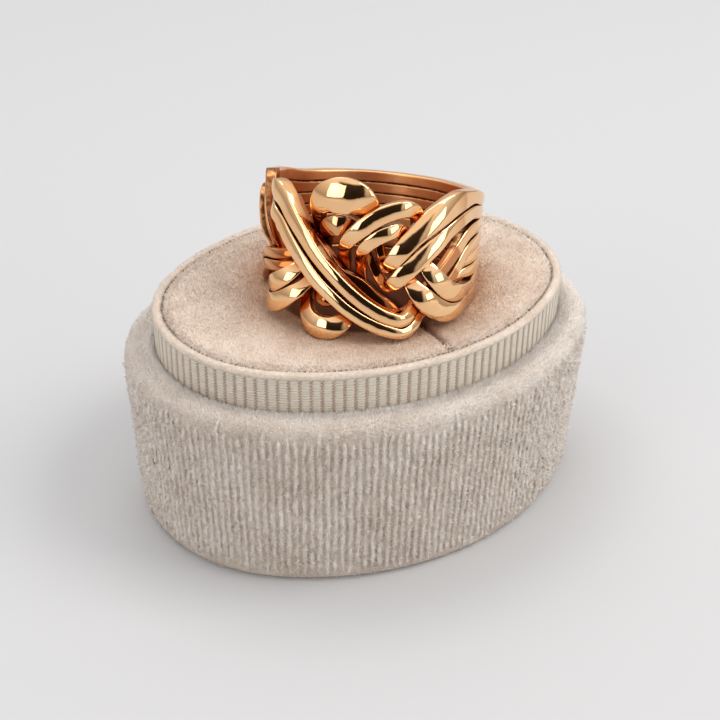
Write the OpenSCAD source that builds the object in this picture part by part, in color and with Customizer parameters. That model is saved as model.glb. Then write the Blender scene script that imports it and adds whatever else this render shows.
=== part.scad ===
// Eight-band puzzle ring lying on the velvet pad of an oval ring box.
// The ring's own frame has its axis along Z and the knot towards -Y; on_pad() lays it on the pad.

/* [Ring] */
// Inner radius of the finger hollow at the shank
shank_inner_r = 10.4; // [9.6:0.1:10.6]
// Thickness of a band beside the knot
shank_side_t = 1.7; // [1.5:0.05:1.8]
// Thickness of a band at the back of the shank
shank_back_t = 1.55; // [1.4:0.05:1.7]
// Gap between neighbouring bands of the shank
band_gap = 0.12; // [0.08:0.01:0.2]
// Chamfer along every edge of a band
edge_chamfer = 0.22; // [0.1:0.01:0.3]
// Height of the shank's middle above the knot's middle
shank_mid_z = 0.75; // [0.7:0.05:0.8]

/* [Ring on the pad] */
// Place of the ring's centre across the box, along it and up
ring_at = [0.97, -0.21, 30.24]; // [-40:0.01:40]
// Turn of the ring about its axis, seen from above
ring_turn = -50.8; // [-90:0.1:90]
// Tip of the ring's axis towards the back of the shank
ring_lean = 14; // [12:0.5:15]
// Tip of the ring's axis to the knot's right
ring_roll = 3.26; // [2:0.1:4]

/* [Box] */
// Length of the base over its velvet
box_l = 55; // [54:0.5:58]
// Width of the base over its velvet
box_w = 43.8; // [43:0.5:46]
// Height of the base's rim
rim_h = 20.1; // [18:0.1:20.5]
// Radius of the rim's rounded edge
rim_r = 1.6; // [1:0.1:2]
// Width of the rim outside the collar
rim_w = 3.3; // [3:0.1:3.6]
// Distance from the oval's middle to the middle of an end's arc
end_at = 8.5; // [7.5:0.5:9.5]
// Slope of the wall, as the bottom's distance inside the outline
base_draft = 0.9; // [0:0.1:1.5]
// Wall between the base's bottom and its hollow
floor_t = 2; // [1.5:0.1:3]

/* [Collar and pad] */
// Height of the collar above the rim
collar_rise = 4; // [3.5:0.1:4.2]
// Thickness of the collar
collar_t = 1.5; // [1.2:0.1:1.8]
// Thickness of the collar's floor
collar_floor_t = 1; // [0.8:0.1:1.5]
// Height of the pad's flat top above the collar
pad_rise = 0.5; // [0.2:0.1:0.6]
// Radius of the pad's shoulder
pad_shoulder_r = 1.6; // [1:0.1:2]
// Width of the slit across the pad
slit_w = 0.5; // [0.3:0.1:1]
// Depth of the slit
slit_d = 5; // [3:0.5:8]
// Gap between pieces that sit in one another
seat_gap = 0.1; // [0.05:0.01:0.2]

/* [Hidden] */
$fn = 96;
rose_gold = [0.89, 0.66, 0.44];
beige_velvet = [0.80, 0.69, 0.60];
ribbon_grey = [0.76, 0.74, 0.66];
collar_top = rim_h + collar_rise;
pad_top = collar_top + pad_rise;
// The oval has an arc at each end and a flatter arc at each side, which meet smoothly
end_r = box_l / 2 - end_at;
side_slack = box_w / 2 - end_r;
side_at = (end_at ^ 2 - side_slack ^ 2) / (2 * side_slack);
side_r = box_w / 2 + side_at;
side_angle = atan2(side_at, end_at);

// Heading of the lean in the box's plane, and the height of ring_at in the ring's frame, reversed
lean_heading = 123;
ring_drop = -0.6;

// Distance between two bands' middles in the shank, against the angle from the knot's middle
shank_pitch = [[80, 1.6], [95, 1.47], [110, 1.33], [130, 1.28], [180, 1.27]];
// Angles of the shank's sections
shank_angles = [92, 112, 136, 160, 180, 200, 224, 248, 266];
// Lengths of a band between two sections, in the knot and in the shank
knot_step = 0.8;
shank_step = 2.2;
shank_from = 88;
mm_per_degree = 0.21;

// Each knot table has a row for each bend of one band across the knot, from left to right:
// [angle about the ring's axis, height, middle radius, width, thickness, lean of the section]
knot_1 = [
    [-80, 6.15, 11.25, 1.35, 1.65, 0], [-70, 6.4, 11.25, 1.35, 1.6, 0], [-63, 6.7, 11.3, 1.4, 1.5, 5],
    [-58.5, 6.3, 11.55, 1.4, 1.2, 12], [-55.5, 5, 11.85, 1.35, 0.95, 14], [-52.5, 3.2, 11.95, 1.3, 0.85, 14],
    [-49, 1.3, 11.7, 1.25, 0.85, 10], [-46, -0.4, 11, 1.15, 0.85, 0], [-43.2, -2, 10.8, 1.1, 0.85, 0],
    [-41, -3.2, 11.2, 1.2, 0.9, 0], [-38, -3.95, 12.1, 1.6, 1, 0], [-33.5, -3.7, 12.8, 1.85, 1.1, 0],
    [-27, -2.85, 12.85, 1.85, 1.1, 0], [-22.3, -1.95, 12.3, 1.55, 1, 0], [-19.5, -0.95, 11.4, 1.15, 0.85, 0],
    [-17.6, 0.1, 10.68, 1.1, 0.85, 0], [-15.5, 1.6, 10.55, 1.1, 0.85, 0], [-13.8, 3, 10.65, 1.1, 0.85, 0],
    [-12, 4.3, 11.5, 1.4, 0.95, 0], [-9.5, 5.5, 12.35, 2.2, 1.05, 0], [-5.5, 6.4, 12.8, 3.1, 1.1, 0],
    [2, 6.85, 12.85, 3.7, 1.1, 0], [9, 6.6, 12.7, 3.4, 1.1, 0], [13.5, 5.8, 12.15, 2.7, 1, 0],
    [16.8, 4.4, 11.25, 1.7, 0.9, 0], [19.3, 2.9, 10.65, 1.15, 0.9, 0], [22, 1.45, 10.55, 1.05, 0.9, 0],
    [24, 0.3, 10.8, 1.1, 0.9, 0], [25.6, -0.3, 11.6, 1.3, 0.9, -5], [27.2, 0.3, 12.4, 1.45, 1, -12],
    [30.2, 1.45, 12.85, 1.5, 1.2, -18], [35, 2.75, 12.9, 1.55, 1.3, -20], [41, 4.1, 12.9, 1.6, 1.3, -18],
    [49, 5.4, 12.8, 1.6, 1.25, -10], [58, 6.2, 12.4, 1.6, 1.25, 0], [69, 6.5, 11.8, 1.5, 1.4, 0],
    [80, 6.5, 11.4, 1.45, 1.6, 0]
];
knot_2 = [
    [-84, 4.6, 11.25, 1.35, 1.65, 0], [-75, 4.75, 11.4, 1.3, 1.4, 0], [-68, 4.75, 11.85, 1.3, 1.1, 5],
    [-64, 4.1, 12.05, 1.3, 0.95, 12], [-61.5, 2.7, 12.1, 1.3, 0.85, 14], [-58.8, 1, 11.9, 1.25, 0.85, 12],
    [-56.2, -0.6, 10.95, 1.15, 0.85, 0], [-53, -2.2, 10.75, 1.1, 0.85, 0], [-49.5, -3.8, 10.8, 1.15, 0.85, 0],
    [-45.5, -5, 11.4, 1.3, 0.9, 0], [-40, -5.7, 12.3, 1.6, 1, 0], [-33.5, -5.8, 12.8, 2, 1.1, 0],
    [-26.5, -5.12, 12.85, 2, 1.1, 0], [-20.5, -4.2, 12.7, 1.75, 1.05, 0], [-16.2, -3.3, 12.1, 1.4, 0.95, 0],
    [-13.3, -2.1, 11.25, 1.15, 0.85, 0], [-11.6, -0.9, 10.6, 1.1, 0.85, 0], [-9.8, 0.7, 10.5, 1.15, 0.85, 0],
    [-8.3, 1.9, 10.7, 1.25, 0.85, 0], [-5.2, 3.2, 11.75, 1.95, 0.95, 0], [0.2, 3.72, 12.05, 2.2, 1, 0],
    [5.8, 3.45, 11.35, 1.85, 0.9, 0], [9.8, 2.7, 10.8, 1.4, 0.9, 0], [12.6, 1.95, 10.55, 1.1, 0.9, 0],
    [15.8, 0.8, 10.5, 1.05, 0.9, 0], [19.2, -0.5, 10.5, 1.05, 0.9, 0], [23.2, -1.75, 10.8, 1.1, 0.9, 0],
    [26.6, -2.25, 11.6, 1.3, 0.9, -5], [29.2, -1.75, 12.4, 1.4, 1, -10], [33.5, -0.6, 12.85, 1.45, 1.15, -14],
    [40, 0.85, 12.9, 1.5, 1.2, -14], [47, 2.2, 12.85, 1.45, 1.15, -10], [55, 3.5, 12.55, 1.45, 1.15, 0],
    [66, 4.45, 12, 1.4, 1.3, 0], [78, 4.85, 11.5, 1.4, 1.5, 0]
];
knot_3 = [
    [-80, 3.15, 11.15, 1.35, 1.5, 0], [-70, 3.5, 10.85, 1.25, 1, 0], [-62, 4.05, 10.75, 1.2, 0.8, 0],
    [-54, 4.7, 10.78, 1.2, 0.8, 0], [-47, 5.4, 11, 1.2, 0.85, 0], [-42, 5.95, 11.6, 1.3, 0.95, 0],
    [-38, 6.25, 12.4, 1.45, 1.25, 0], [-33.5, 6.25, 12.65, 1.65, 1.6, 0], [-29.5, 5.75, 12.65, 1.75, 1.6, 0],
    [-23, 4.2, 12.75, 1.65, 1.4, 0], [-15, 2.3, 12.85, 1.5, 1.2, 0], [-7, 0.25, 12.85, 1.25, 1.2, 0],
    [1, -1.4, 12.85, 1.2, 1.2, 0], [9, -2.95, 12.85, 1.2, 1.2, 0], [18, -4.35, 12.85, 1.2, 1.2, 0],
    [27, -5.35, 12.85, 1.25, 1.2, 0], [34, -5.65, 12.8, 1.25, 1.15, 0], [38.3, -5.15, 12.3, 1.15, 1, 0],
    [42.2, -4.2, 11.7, 1.1, 0.9, 0], [48, -2.8, 11.75, 1.15, 0.9, 0], [54, -1.4, 11.75, 1.2, 0.9, 0],
    [60, -0.1, 11.8, 1.3, 0.9, 0], [67, 1.3, 11.75, 1.35, 1, 0], [75, 2.5, 11.5, 1.35, 1.25, 0],
    [84, 3.05, 11.35, 1.4, 1.6, 0]
];
knot_4 = [
    [-80, 1.6, 11.15, 1.35, 1.5, 0], [-70, 1.85, 10.85, 1.25, 1, 0], [-62, 2.35, 10.75, 1.2, 0.8, 0],
    [-54, 3.05, 10.78, 1.15, 0.8, 0], [-47, 3.7, 11, 1.15, 0.85, 0], [-42, 4.15, 11.6, 1.15, 0.95, 0],
    [-38, 4.3, 12.3, 1.25, 1.15, 0], [-34, 3.95, 12.75, 1.4, 1.4, 0], [-30, 3.25, 12.75, 1.45, 1.4, 0],
    [-23, 1.45, 12.8, 1.45, 1.3, 0], [-15, -0.4, 12.85, 1.35, 1.2, 0], [-7, -2.2, 12.85, 1.3, 1.2, 0],
    [1, -3.6, 12.85, 1.2, 1.2, 0], [9, -4.9, 12.85, 1.15, 1.2, 0], [18, -6, 12.85, 1.15, 1.2, 0],
    [27, -6.75, 12.85, 1.15, 1.2, 0], [34.5, -7, 12.85, 1.1, 1.15, 0], [40, -6.45, 12.5, 1.05, 1, 0],
    [44.5, -5.5, 11.85, 1, 0.9, 0], [50.5, -4.4, 11.75, 1.05, 0.9, 0], [57, -3.1, 11.75, 1.1, 0.9, 0],
    [63, -1.8, 11.8, 1.15, 0.9, 0], [69, -0.5, 11.75, 1.25, 1, 0], [76, 0.7, 11.5, 1.3, 1.25, 0],
    [85, 1.35, 11.35, 1.4, 1.6, 0]
];
knot_5 = [
    [-82, 0, 11.15, 1.35, 1.5, 0], [-73, 0.3, 10.5, 1.2, 1, 0], [-65, 0.9, 9.95, 1.05, 0.8, 0],
    [-56, 1.85, 9.86, 0.95, 0.8, 0], [-48, 2.95, 9.9, 0.95, 0.8, 0], [-41.5, 4, 10.1, 0.95, 0.8, 0],
    [-36, 4.9, 10.45, 0.95, 0.85, 0], [-30.5, 5.2, 10.9, 0.95, 0.85, 0], [-24.5, 4.4, 11.35, 0.95, 0.9, 0],
    [-15.3, 2.32, 11.62, 1, 0.9, 0], [-5.8, 0.25, 11.68, 1.5, 0.9, 0], [2, -1.38, 11.65, 1.4, 0.9, 0],
    [10.9, -2.6, 11.6, 2.15, 0.9, 0], [19.6, -3.97, 11.6, 2.15, 0.9, 0], [28, -4.94, 11.55, 2, 0.9, 0],
    [34, -5.55, 11.3, 1.3, 0.9, 0], [39, -5.3, 10.85, 0.95, 0.85, 0], [44.5, -4.8, 10.65, 0.95, 0.85, 0],
    [51, -4.1, 10.6, 0.95, 0.85, 0], [58, -3.25, 10.6, 0.95, 0.85, 0], [65, -2.3, 10.65, 1, 0.85, 0],
    [71, -1.45, 10.75, 1, 0.9, 0], [77, -0.75, 10.95, 1.1, 1.05, 0], [85, -0.2, 11.25, 1.3, 1.5, 0]
];
knot_6 = [
    [-82, -1.55, 11.15, 1.35, 1.5, 0], [-73, -1.2, 10.5, 1.2, 1, 0], [-65, -0.5, 9.95, 1.05, 0.8, 0],
    [-56, 0.45, 9.86, 0.95, 0.8, 0], [-48, 1.5, 9.9, 0.95, 0.8, 0], [-41.5, 2.5, 10.1, 0.95, 0.8, 0],
    [-37, 3.3, 10.4, 0.95, 0.85, 0], [-32.5, 3.75, 10.8, 0.95, 0.85, 0], [-27.5, 3.1, 11.3, 0.95, 0.9, 0],
    [-18.5, 1.05, 11.6, 0.95, 0.9, 0], [-10, -0.9, 11.65, 0.95, 0.9, 0], [-2, -2.5, 11.65, 0.95, 0.9, 0],
    [6.5, -4.05, 11.65, 0.95, 0.9, 0], [16.5, -5.5, 11.65, 0.95, 0.9, 0], [26, -6.5, 11.6, 0.95, 0.9, 0],
    [33, -6.9, 11.35, 0.95, 0.9, 0], [39, -6.5, 10.85, 0.95, 0.85, 0], [45, -6, 10.65, 0.95, 0.85, 0],
    [52, -5.3, 10.6, 0.95, 0.85, 0], [59.5, -4.4, 10.6, 0.95, 0.85, 0], [67, -3.45, 10.65, 1, 0.85, 0],
    [73, -2.65, 10.8, 1, 0.9, 0], [79, -1.95, 11, 1.15, 1.1, 0], [87, -1.65, 11.25, 1.3, 1.5, 0]
];
knot_7 = [
    [-80, -3.2, 11.2, 1.35, 1.6, 0], [-69, -2.75, 11.25, 1.3, 1.2, 0], [-61, -2.1, 11.55, 1.25, 0.95, 0],
    [-54, -1.4, 11.9, 1.15, 0.85, 0], [-47, -1, 12.05, 1.1, 0.85, 0], [-40.5, -0.9, 11.9, 1.1, 0.85, 0],
    [-34.5, -0.7, 11.35, 1.1, 0.85, 0], [-29, -0.4, 10.75, 1.1, 0.85, 0], [-24, -0.65, 10.35, 1.05, 0.8, 0],
    [-19.9, -1.25, 10.32, 1.05, 0.8, 0], [-16.2, -2.15, 10.3, 1.05, 0.8, 0], [-12.9, -3.1, 10.45, 1.1, 0.85, 0],
    [-9.6, -3.85, 11, 1.25, 0.95, 0], [-5.3, -4.55, 11.35, 1.4, 1, 0], [-1.2, -4.1, 10.85, 1.2, 0.85, 0],
    [1.2, -2.9, 10.55, 1.3, 0.85, 0], [2.3, -1.5, 10.5, 1.45, 0.85, 0], [2.9, -0.1, 10.75, 1.35, 0.85, 0],
    [3.9, 1.15, 11.6, 1.25, 0.9, 0], [6.4, 2.35, 12.5, 1.5, 1.05, 0], [10.5, 3.4, 12.9, 1.7, 1.1, 0],
    [16.5, 4.6, 12.95, 1.75, 1.1, 0], [24, 5.6, 12.95, 1.75, 1.1, 0], [31, 6, 12.9, 1.65, 1.05, 0],
    [36.5, 5.7, 12.3, 1.45, 1, 0], [40, 4.6, 11.5, 1.25, 0.9, 0], [41.6, 3.2, 11.1, 1.15, 0.9, 0],
    [42.6, 1.9, 11.1, 1.15, 0.9, 0], [43.8, 0.6, 11.5, 1.25, 0.95, 0], [45.8, -0.4, 12.4, 1.7, 1.05, 0],
    [50, -1.45, 12.9, 2, 1.1, 0], [55.5, -2.5, 12.95, 2.1, 1.1, 0], [61, -3, 12.9, 1.95, 1.1, 0],
    [68, -3.2, 12.5, 1.6, 1.1, 0], [76, -3.25, 11.9, 1.35, 1.2, 0], [85, -3.3, 11.4, 1.35, 1.5, 0]
];
knot_8 = [
    [-80, -4.75, 11.2, 1.4, 1.6, 0], [-69, -4.4, 11.25, 1.4, 1.2, 0], [-61, -3.7, 11.5, 1.3, 0.95, 0],
    [-54, -2.9, 11.75, 1.2, 0.85, 0], [-47, -2.35, 12, 1.15, 0.85, 0], [-40.5, -2.2, 11.9, 1.15, 0.85, 0],
    [-35, -2.05, 11.35, 1.15, 0.85, 0], [-30, -1.85, 10.8, 1.1, 0.85, 0], [-25.8, -2, 10.55, 1.1, 0.85, 0],
    [-22.2, -2.7, 10.55, 1.1, 0.85, 0], [-19.2, -3.7, 10.65, 1.1, 0.85, 0], [-16.4, -4.95, 11.3, 1.25, 0.95, 0],
    [-12.8, -6.2, 12.1, 1.5, 1, 0], [-7, -7.05, 12.55, 1.9, 1.1, 0], [0, -7.1, 12.55, 1.9, 1.1, 0],
    [6, -6.4, 11.9, 1.5, 1, 0], [9.8, -5.2, 10.68, 1.1, 0.85, 0], [12, -3.8, 10.5, 1.25, 0.85, 0],
    [12.7, -2.2, 10.5, 1.3, 0.85, 0], [12.5, -0.7, 10.8, 1.15, 0.85, 0], [12.5, 0.6, 11.6, 1.2, 0.9, 0],
    [14.2, 1.75, 12.45, 1.35, 1, 0], [18.5, 2.75, 12.85, 1.45, 1, 0], [24, 3.5, 12.9, 1.5, 1, 0],
    [29.3, 3.75, 12.3, 1.4, 1, 0], [33, 3.1, 11.35, 1.2, 0.85, 0], [34.8, 1.8, 11.1, 1.15, 0.85, 0],
    [35.6, 0.4, 11.05, 1.15, 0.85, 0], [36.6, -1, 11.4, 1.25, 0.95, 0], [39, -2.25, 12.3, 1.75, 1.05, 0],
    [43.5, -3.3, 12.9, 2.25, 1.1, 0], [50, -4.4, 12.95, 2.35, 1.1, 0], [57, -5, 12.95, 2.1, 1.1, 0],
    [65, -4.95, 12.7, 1.6, 1.1, 0], [73, -4.75, 12.1, 1.5, 1.1, 0], [82, -4.85, 11.45, 1.45, 1.45, 0]
];
knots = [knot_1, knot_2, knot_3, knot_4, knot_5, knot_6, knot_7, knot_8];

// Parts of the pad's groove: [first angle from the knot's middle, last angle, inner radius, outer radius, floor]
groove_parts = [[72, 126, 9.9, 12.8, -5.7], [80, 280, 10, 12.7, -4.75], [234, 288, 9.9, 12.8, -5.7]];

// A shank section of band n at an angle from 90 to 270 degrees
function shank_row(n, angle) =
    let(from_knot = min(angle, 360 - angle), pitch = lookup(from_knot, shank_pitch))
    let(t = lookup(from_knot, [[90, shank_side_t], [180, shank_back_t]]))
    [angle, shank_mid_z + (4.5 - n) * pitch, shank_inner_r + t / 2, pitch - band_gap, t, 0];

// All sections of band n, once around the ring
function band_rows(n) = concat(knots[n - 1], [for (angle = shank_angles) shank_row(n, angle)]);

// Row i of a closed table, which may run past either end
function row_at(rows, i) =
    let(count = len(rows), turns = floor(i / count))
    rows[i - turns * count] + [360 * turns, 0, 0, 0, 0, 0];

// Length from row i to the next, unrolled
function reach(rows, i) =
    let(d = row_at(rows, i + 1) - row_at(rows, i))
    norm([d[0] * mm_per_degree, d[1], d[2]]);

// Rate of change at row i, weighed by the lengths on both sides
function slope(rows, i) =
    let(before = reach(rows, i - 1), after = reach(rows, i))
    let(in = (row_at(rows, i) - row_at(rows, i - 1)) / before)
    let(out = (row_at(rows, i + 1) - row_at(rows, i)) / after)
    (in * after + out * before) / (before + after);

// A smooth blend from row p to row q at u from 0 to 1, with slopes m and k
function blend(p, m, q, k, u) =
    (2 * u ^ 3 - 3 * u ^ 2 + 1) * p + (u ^ 3 - 2 * u ^ 2 + u) * m + (3 * u ^ 2 - 2 * u ^ 3) * q
    + (u ^ 3 - u ^ 2) * k;

// Sections between the rows, close together in the knot
function smooth(rows) = [
    for (i = [0 : len(rows) - 1])
    let(p = row_at(rows, i), q = row_at(rows, i + 1), long = reach(rows, i))
    let(in_shank = max(abs(p[0]), abs(q[0])) > shank_from)
    let(steps = ceil(long / (in_shank ? shank_step : knot_step)))
    for (j = [0 : steps - 1])
    blend(p, slope(rows, i) * long, q, slope(rows, i + 1) * long, j / steps)
];

// Middle of a section in the ring's frame
function middle(row) = [row[2] * sin(row[0]), -row[2] * cos(row[0]), row[1]];

// Corners of a section, as [across the width, out of the ring]
function corners(w, t) =
    let(c = min(edge_chamfer, 0.45 * min(w, t)), x = w / 2, y = t / 2)
    [[-x, -y + c], [-x + c, -y], [x - c, -y], [x, -y + c], [x, y - c], [x - c, y], [-x + c, y], [-x, y - c]];

// Points of section i, square to the band's run and turned by its lean
function section_points(path, i) =
    let(count = len(path), row = path[i])
    let(run = middle(path[(i + 1) % count]) - middle(path[(i + count - 1) % count]), along = run / norm(run))
    let(outward = [sin(row[0]), -cos(row[0]), 0], up = cross(outward, along))
    let(side = up / norm(up), face = cross(along, side))
    let(across = side * cos(row[5]) + face * sin(row[5]), out = face * cos(row[5]) - side * sin(row[5]))
    [for (c = corners(row[3], row[4])) middle(row) + across * c[0] + out * c[1]];

// Closed loop with the sections of band n
module band_body(n) {
    path = smooth(band_rows(n));
    count = len(path);
    points = [for (i = [0 : count - 1]) each section_points(path, i)];
    quads = [
        for (i = [0 : count - 1], j = [0 : 7])
        let(a = 8 * i, b = 8 * ((i + 1) % count), k = (j + 1) % 8)
        [a + j, b + j, b + k, a + k]
    ];
    tris = [for (q = quads, half = [0, 1]) half == 0 ? [q[0], q[1], q[2]] : [q[0], q[2], q[3]]];
    polyhedron(points, tris, convexity = 12);
}

// Moves the ring's frame to where the ring lies
module on_pad() {
    translate(ring_at)
    rotate([-ring_roll, -ring_lean, -lean_heading])
    translate([0, 0, ring_drop])
    rotate([0, 0, ring_turn + lean_heading])
    children();
}

module band(n) {
    color(rose_gold)
    on_pad()
    band_body(n);
}

// Turns a profile around the whole oval; its X is 0 at the oval's outline and negative inside
module around_oval() {
    for (side = [-1, 1])
    translate([side * end_at, 0, 0])
    rotate([0, 0, (side < 0 ? 180 : 0) - side_angle])
    rotate_extrude(angle = 2 * side_angle)
    inner_half(end_r)
    children();
    for (side = [-1, 1])
    translate([0, -side * side_at, 0])
    rotate([0, 0, (side < 0 ? 180 : 0) + side_angle])
    rotate_extrude(angle = 180 - 2 * side_angle)
    inner_half(side_r)
    children();
}

// Part of a profile that lies between an arc of radius r and its axis
module inner_half(r) {
    intersection() {
        translate([r, 0])
        children();
        square([2 * box_l, 2 * box_l]);
    }
}

// Profile that fills the oval from a distance inside its outline, between two heights
module filled(inset, low, high) {
    translate([-2 * box_l - inset, low])
    square([2 * box_l, high - low]);
}

// Profile that fills the oval as above, with a rounded top edge
module rounded(inset, low, high, r) {
    filled(inset, low, high - r);
    filled(inset + r, low, high);
    translate([-inset - r, high - r])
    circle(r = r);
}

// Oval cup with a sloped wall, a rounded rim and a flat bottom
module box_base() {
    color(beige_velvet)
    difference() {
        around_oval()
        union() {
            filled(rim_r, 0, rim_h);
            polygon([[-rim_r, 0], [-base_draft, 0], [0, rim_h - rim_r], [-rim_r, rim_h - rim_r]]);
            translate([-rim_r, rim_h - rim_r])
            circle(r = rim_r);
        }
        around_oval()
        filled(rim_w - seat_gap, floor_t, 2 * rim_h);
    }
}

// Oval cup that stands in the base and rises above its rim as a collar
module box_collar() {
    color(ribbon_grey)
    difference() {
        around_oval()
        rounded(rim_w, floor_t + seat_gap, collar_top, 0.7 * collar_t);
        around_oval()
        filled(rim_w + collar_t, floor_t + seat_gap + collar_floor_t, 2 * rim_h);
    }
}

// Groove that the back of the ring presses into the pad
module groove() {
    on_pad()
    for (part = groove_parts)
    rotate([0, 0, part[0] - 90])
    rotate_extrude(angle = part[1] - part[0])
    translate([part[2], part[4]])
    square([part[3] - part[2], 30]);
}

// Pad that fills the collar, with a slit across the oval
module pad() {
    color(beige_velvet)
    difference() {
        around_oval()
        rounded(rim_w + collar_t + seat_gap, floor_t + collar_floor_t + 2 * seat_gap, pad_top, pad_shoulder_r);
        translate([-slit_w / 2, -box_w / 2, pad_top - slit_d])
        cube([slit_w, box_w, 2 * slit_d]);
        groove();
    }
}

box_base();
box_collar();
pad();
band(1);  // band_1
band(2);  // band_2
band(3);  // band_3
band(4);  // band_4
band(5);  // band_5
band(6);  // band_6
band(7);  // band_7
band(8);  // band_8
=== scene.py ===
"""Puzzle ring lying on the velvet pad of an oval ring box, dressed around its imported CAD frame.

Lengths in the tables and functions are millimetres in the part's own frame, and meshes are written in metres.
"""

import math

import bpy
import numpy as np
from mathutils import Matrix, Vector, noise


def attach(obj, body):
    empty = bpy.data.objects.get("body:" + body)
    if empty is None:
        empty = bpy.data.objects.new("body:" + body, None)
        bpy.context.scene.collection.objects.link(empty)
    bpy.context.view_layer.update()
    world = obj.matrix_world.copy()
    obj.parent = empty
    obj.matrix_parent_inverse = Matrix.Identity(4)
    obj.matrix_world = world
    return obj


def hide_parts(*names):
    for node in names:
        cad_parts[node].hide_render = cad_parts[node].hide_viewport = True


MM = 0.001
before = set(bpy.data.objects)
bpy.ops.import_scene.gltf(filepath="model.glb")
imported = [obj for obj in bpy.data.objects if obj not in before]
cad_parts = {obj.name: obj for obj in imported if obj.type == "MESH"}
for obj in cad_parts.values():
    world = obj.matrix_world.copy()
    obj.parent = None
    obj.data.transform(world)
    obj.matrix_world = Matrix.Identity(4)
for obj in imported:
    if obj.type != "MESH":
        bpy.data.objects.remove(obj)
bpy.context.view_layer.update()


# Camera

EYE = Vector((-69.507, -106.823, 92.686)) * MM
LOOK = Vector((0.46334, 0.71348, -0.52561))
ROLL = math.radians(0.88)
LENS, SENSOR_WIDTH = 63.8, 36
NEAREST = 5 * MM

camera_data = bpy.data.cameras.new("camera")
camera_data.lens = LENS
camera_data.sensor_width = SENSOR_WIDTH
camera_data.clip_start = NEAREST
camera = bpy.data.objects.new("camera", camera_data)
bpy.context.scene.collection.objects.link(camera)
turn = LOOK.to_track_quat("-Z", "Y").to_matrix().to_4x4()
camera.matrix_world = Matrix.Translation(EYE) @ turn @ Matrix.Rotation(ROLL, 4, "Z")
bpy.context.scene.camera = camera


# The box's sizes, as the frame has them, apart from COLLAR_TOP: the ribbon's roll stands above its collar

BOX_L, BOX_W = 55.0, 43.8
END_AT = 8.5
RIM_H, RIM_R = 20.1, 1.6
WALL_TOP = RIM_H - RIM_R
DRAFT = 0.9
COLLAR_TOP, PAD_TOP = 24.65, 24.6
END_R = BOX_L / 2 - END_AT
SLACK = BOX_W / 2 - END_R
SIDE_AT = (END_AT**2 - SLACK**2) / (2 * SLACK)
SIDE_R = BOX_W / 2 + SIDE_AT
SIDE_ANGLE = math.atan2(SIDE_AT, END_AT)


# Small tools for meshes

def mesh_object(name, points, faces, smooth=True, floats=None):
    """A mesh object at the origin from points in millimetres, with named vertex values."""
    mesh = bpy.data.meshes.new(name)
    corners = [tuple(point) for point in np.asarray(points, float) * MM]
    mesh.from_pydata(corners, [], [tuple(map(int, face)) for face in faces])
    for key, values in (floats or {}).items():
        stored = mesh.attributes.new(key, "FLOAT", "POINT")
        stored.data.foreach_set("value", np.asarray(values, np.float32))
    mesh.polygons.foreach_set("use_smooth", [smooth] * len(mesh.polygons))
    mesh.update()
    thing = bpy.data.objects.new(name, mesh)
    bpy.context.scene.collection.objects.link(thing)
    return thing


def grid_faces(rows, columns, wrap_columns=True, wrap_rows=False, first=0):
    """Quads between rows of points that were written one after another."""
    faces = []
    for i in range(rows if wrap_rows else rows - 1):
        here, above = first + i * columns, first + (i + 1) % rows * columns
        for j in range(columns if wrap_columns else columns - 1):
            k = (j + 1) % columns
            faces.append((here + j, here + k, above + k, above + j))
    return faces


def oval_line(inset, count):
    """Even points and outward normals around the oval, a distance inside its outline, and its length."""
    arcs = []
    for side, centre, radius, half in (
        (0, (END_AT, 0), END_R, SIDE_ANGLE),
        (90, (0, -SIDE_AT), SIDE_R, math.pi / 2 - SIDE_ANGLE),
        (180, (-END_AT, 0), END_R, SIDE_ANGLE),
        (270, (0, SIDE_AT), SIDE_R, math.pi / 2 - SIDE_ANGLE),
    ):
        arcs.append((math.radians(side) - half, 2 * half, centre, radius - inset))
    total = sum(turn * radius for _, turn, _, radius in arcs)
    points, normals = [], []
    for i in range(count):
        s = i / count * total
        for start, turn, centre, radius in arcs:
            if s <= turn * radius:
                a = start + s / radius
                points.append((centre[0] + radius * math.cos(a), centre[1] + radius * math.sin(a)))
                normals.append((math.cos(a), math.sin(a)))
                break
            s -= turn * radius
    return np.array(points), np.array(normals), total


def around_oval(profile, count):
    """Points of a profile of (distance inside the outline, height), once around the whole oval for each."""
    line, normals, _ = oval_line(0, count)
    return np.concatenate(
        [np.column_stack([line - normals * inset, np.full(count, height)]) for inset, height in profile]
    )


def arc(centre, radius, start, end, steps):
    """Points of an arc in a profile, in degrees, as (distance inside the outline, height)."""
    found = []
    for i in range(steps + 1):
        a = math.radians(start + (end - start) * i / steps)
        found.append((centre[0] - radius * math.cos(a), centre[1] + radius * math.sin(a)))
    return found


# The ring's bands: the same tables as the frame's source
# [angle about the ring's axis, height, middle radius, width, thickness, lean of the section]

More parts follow.
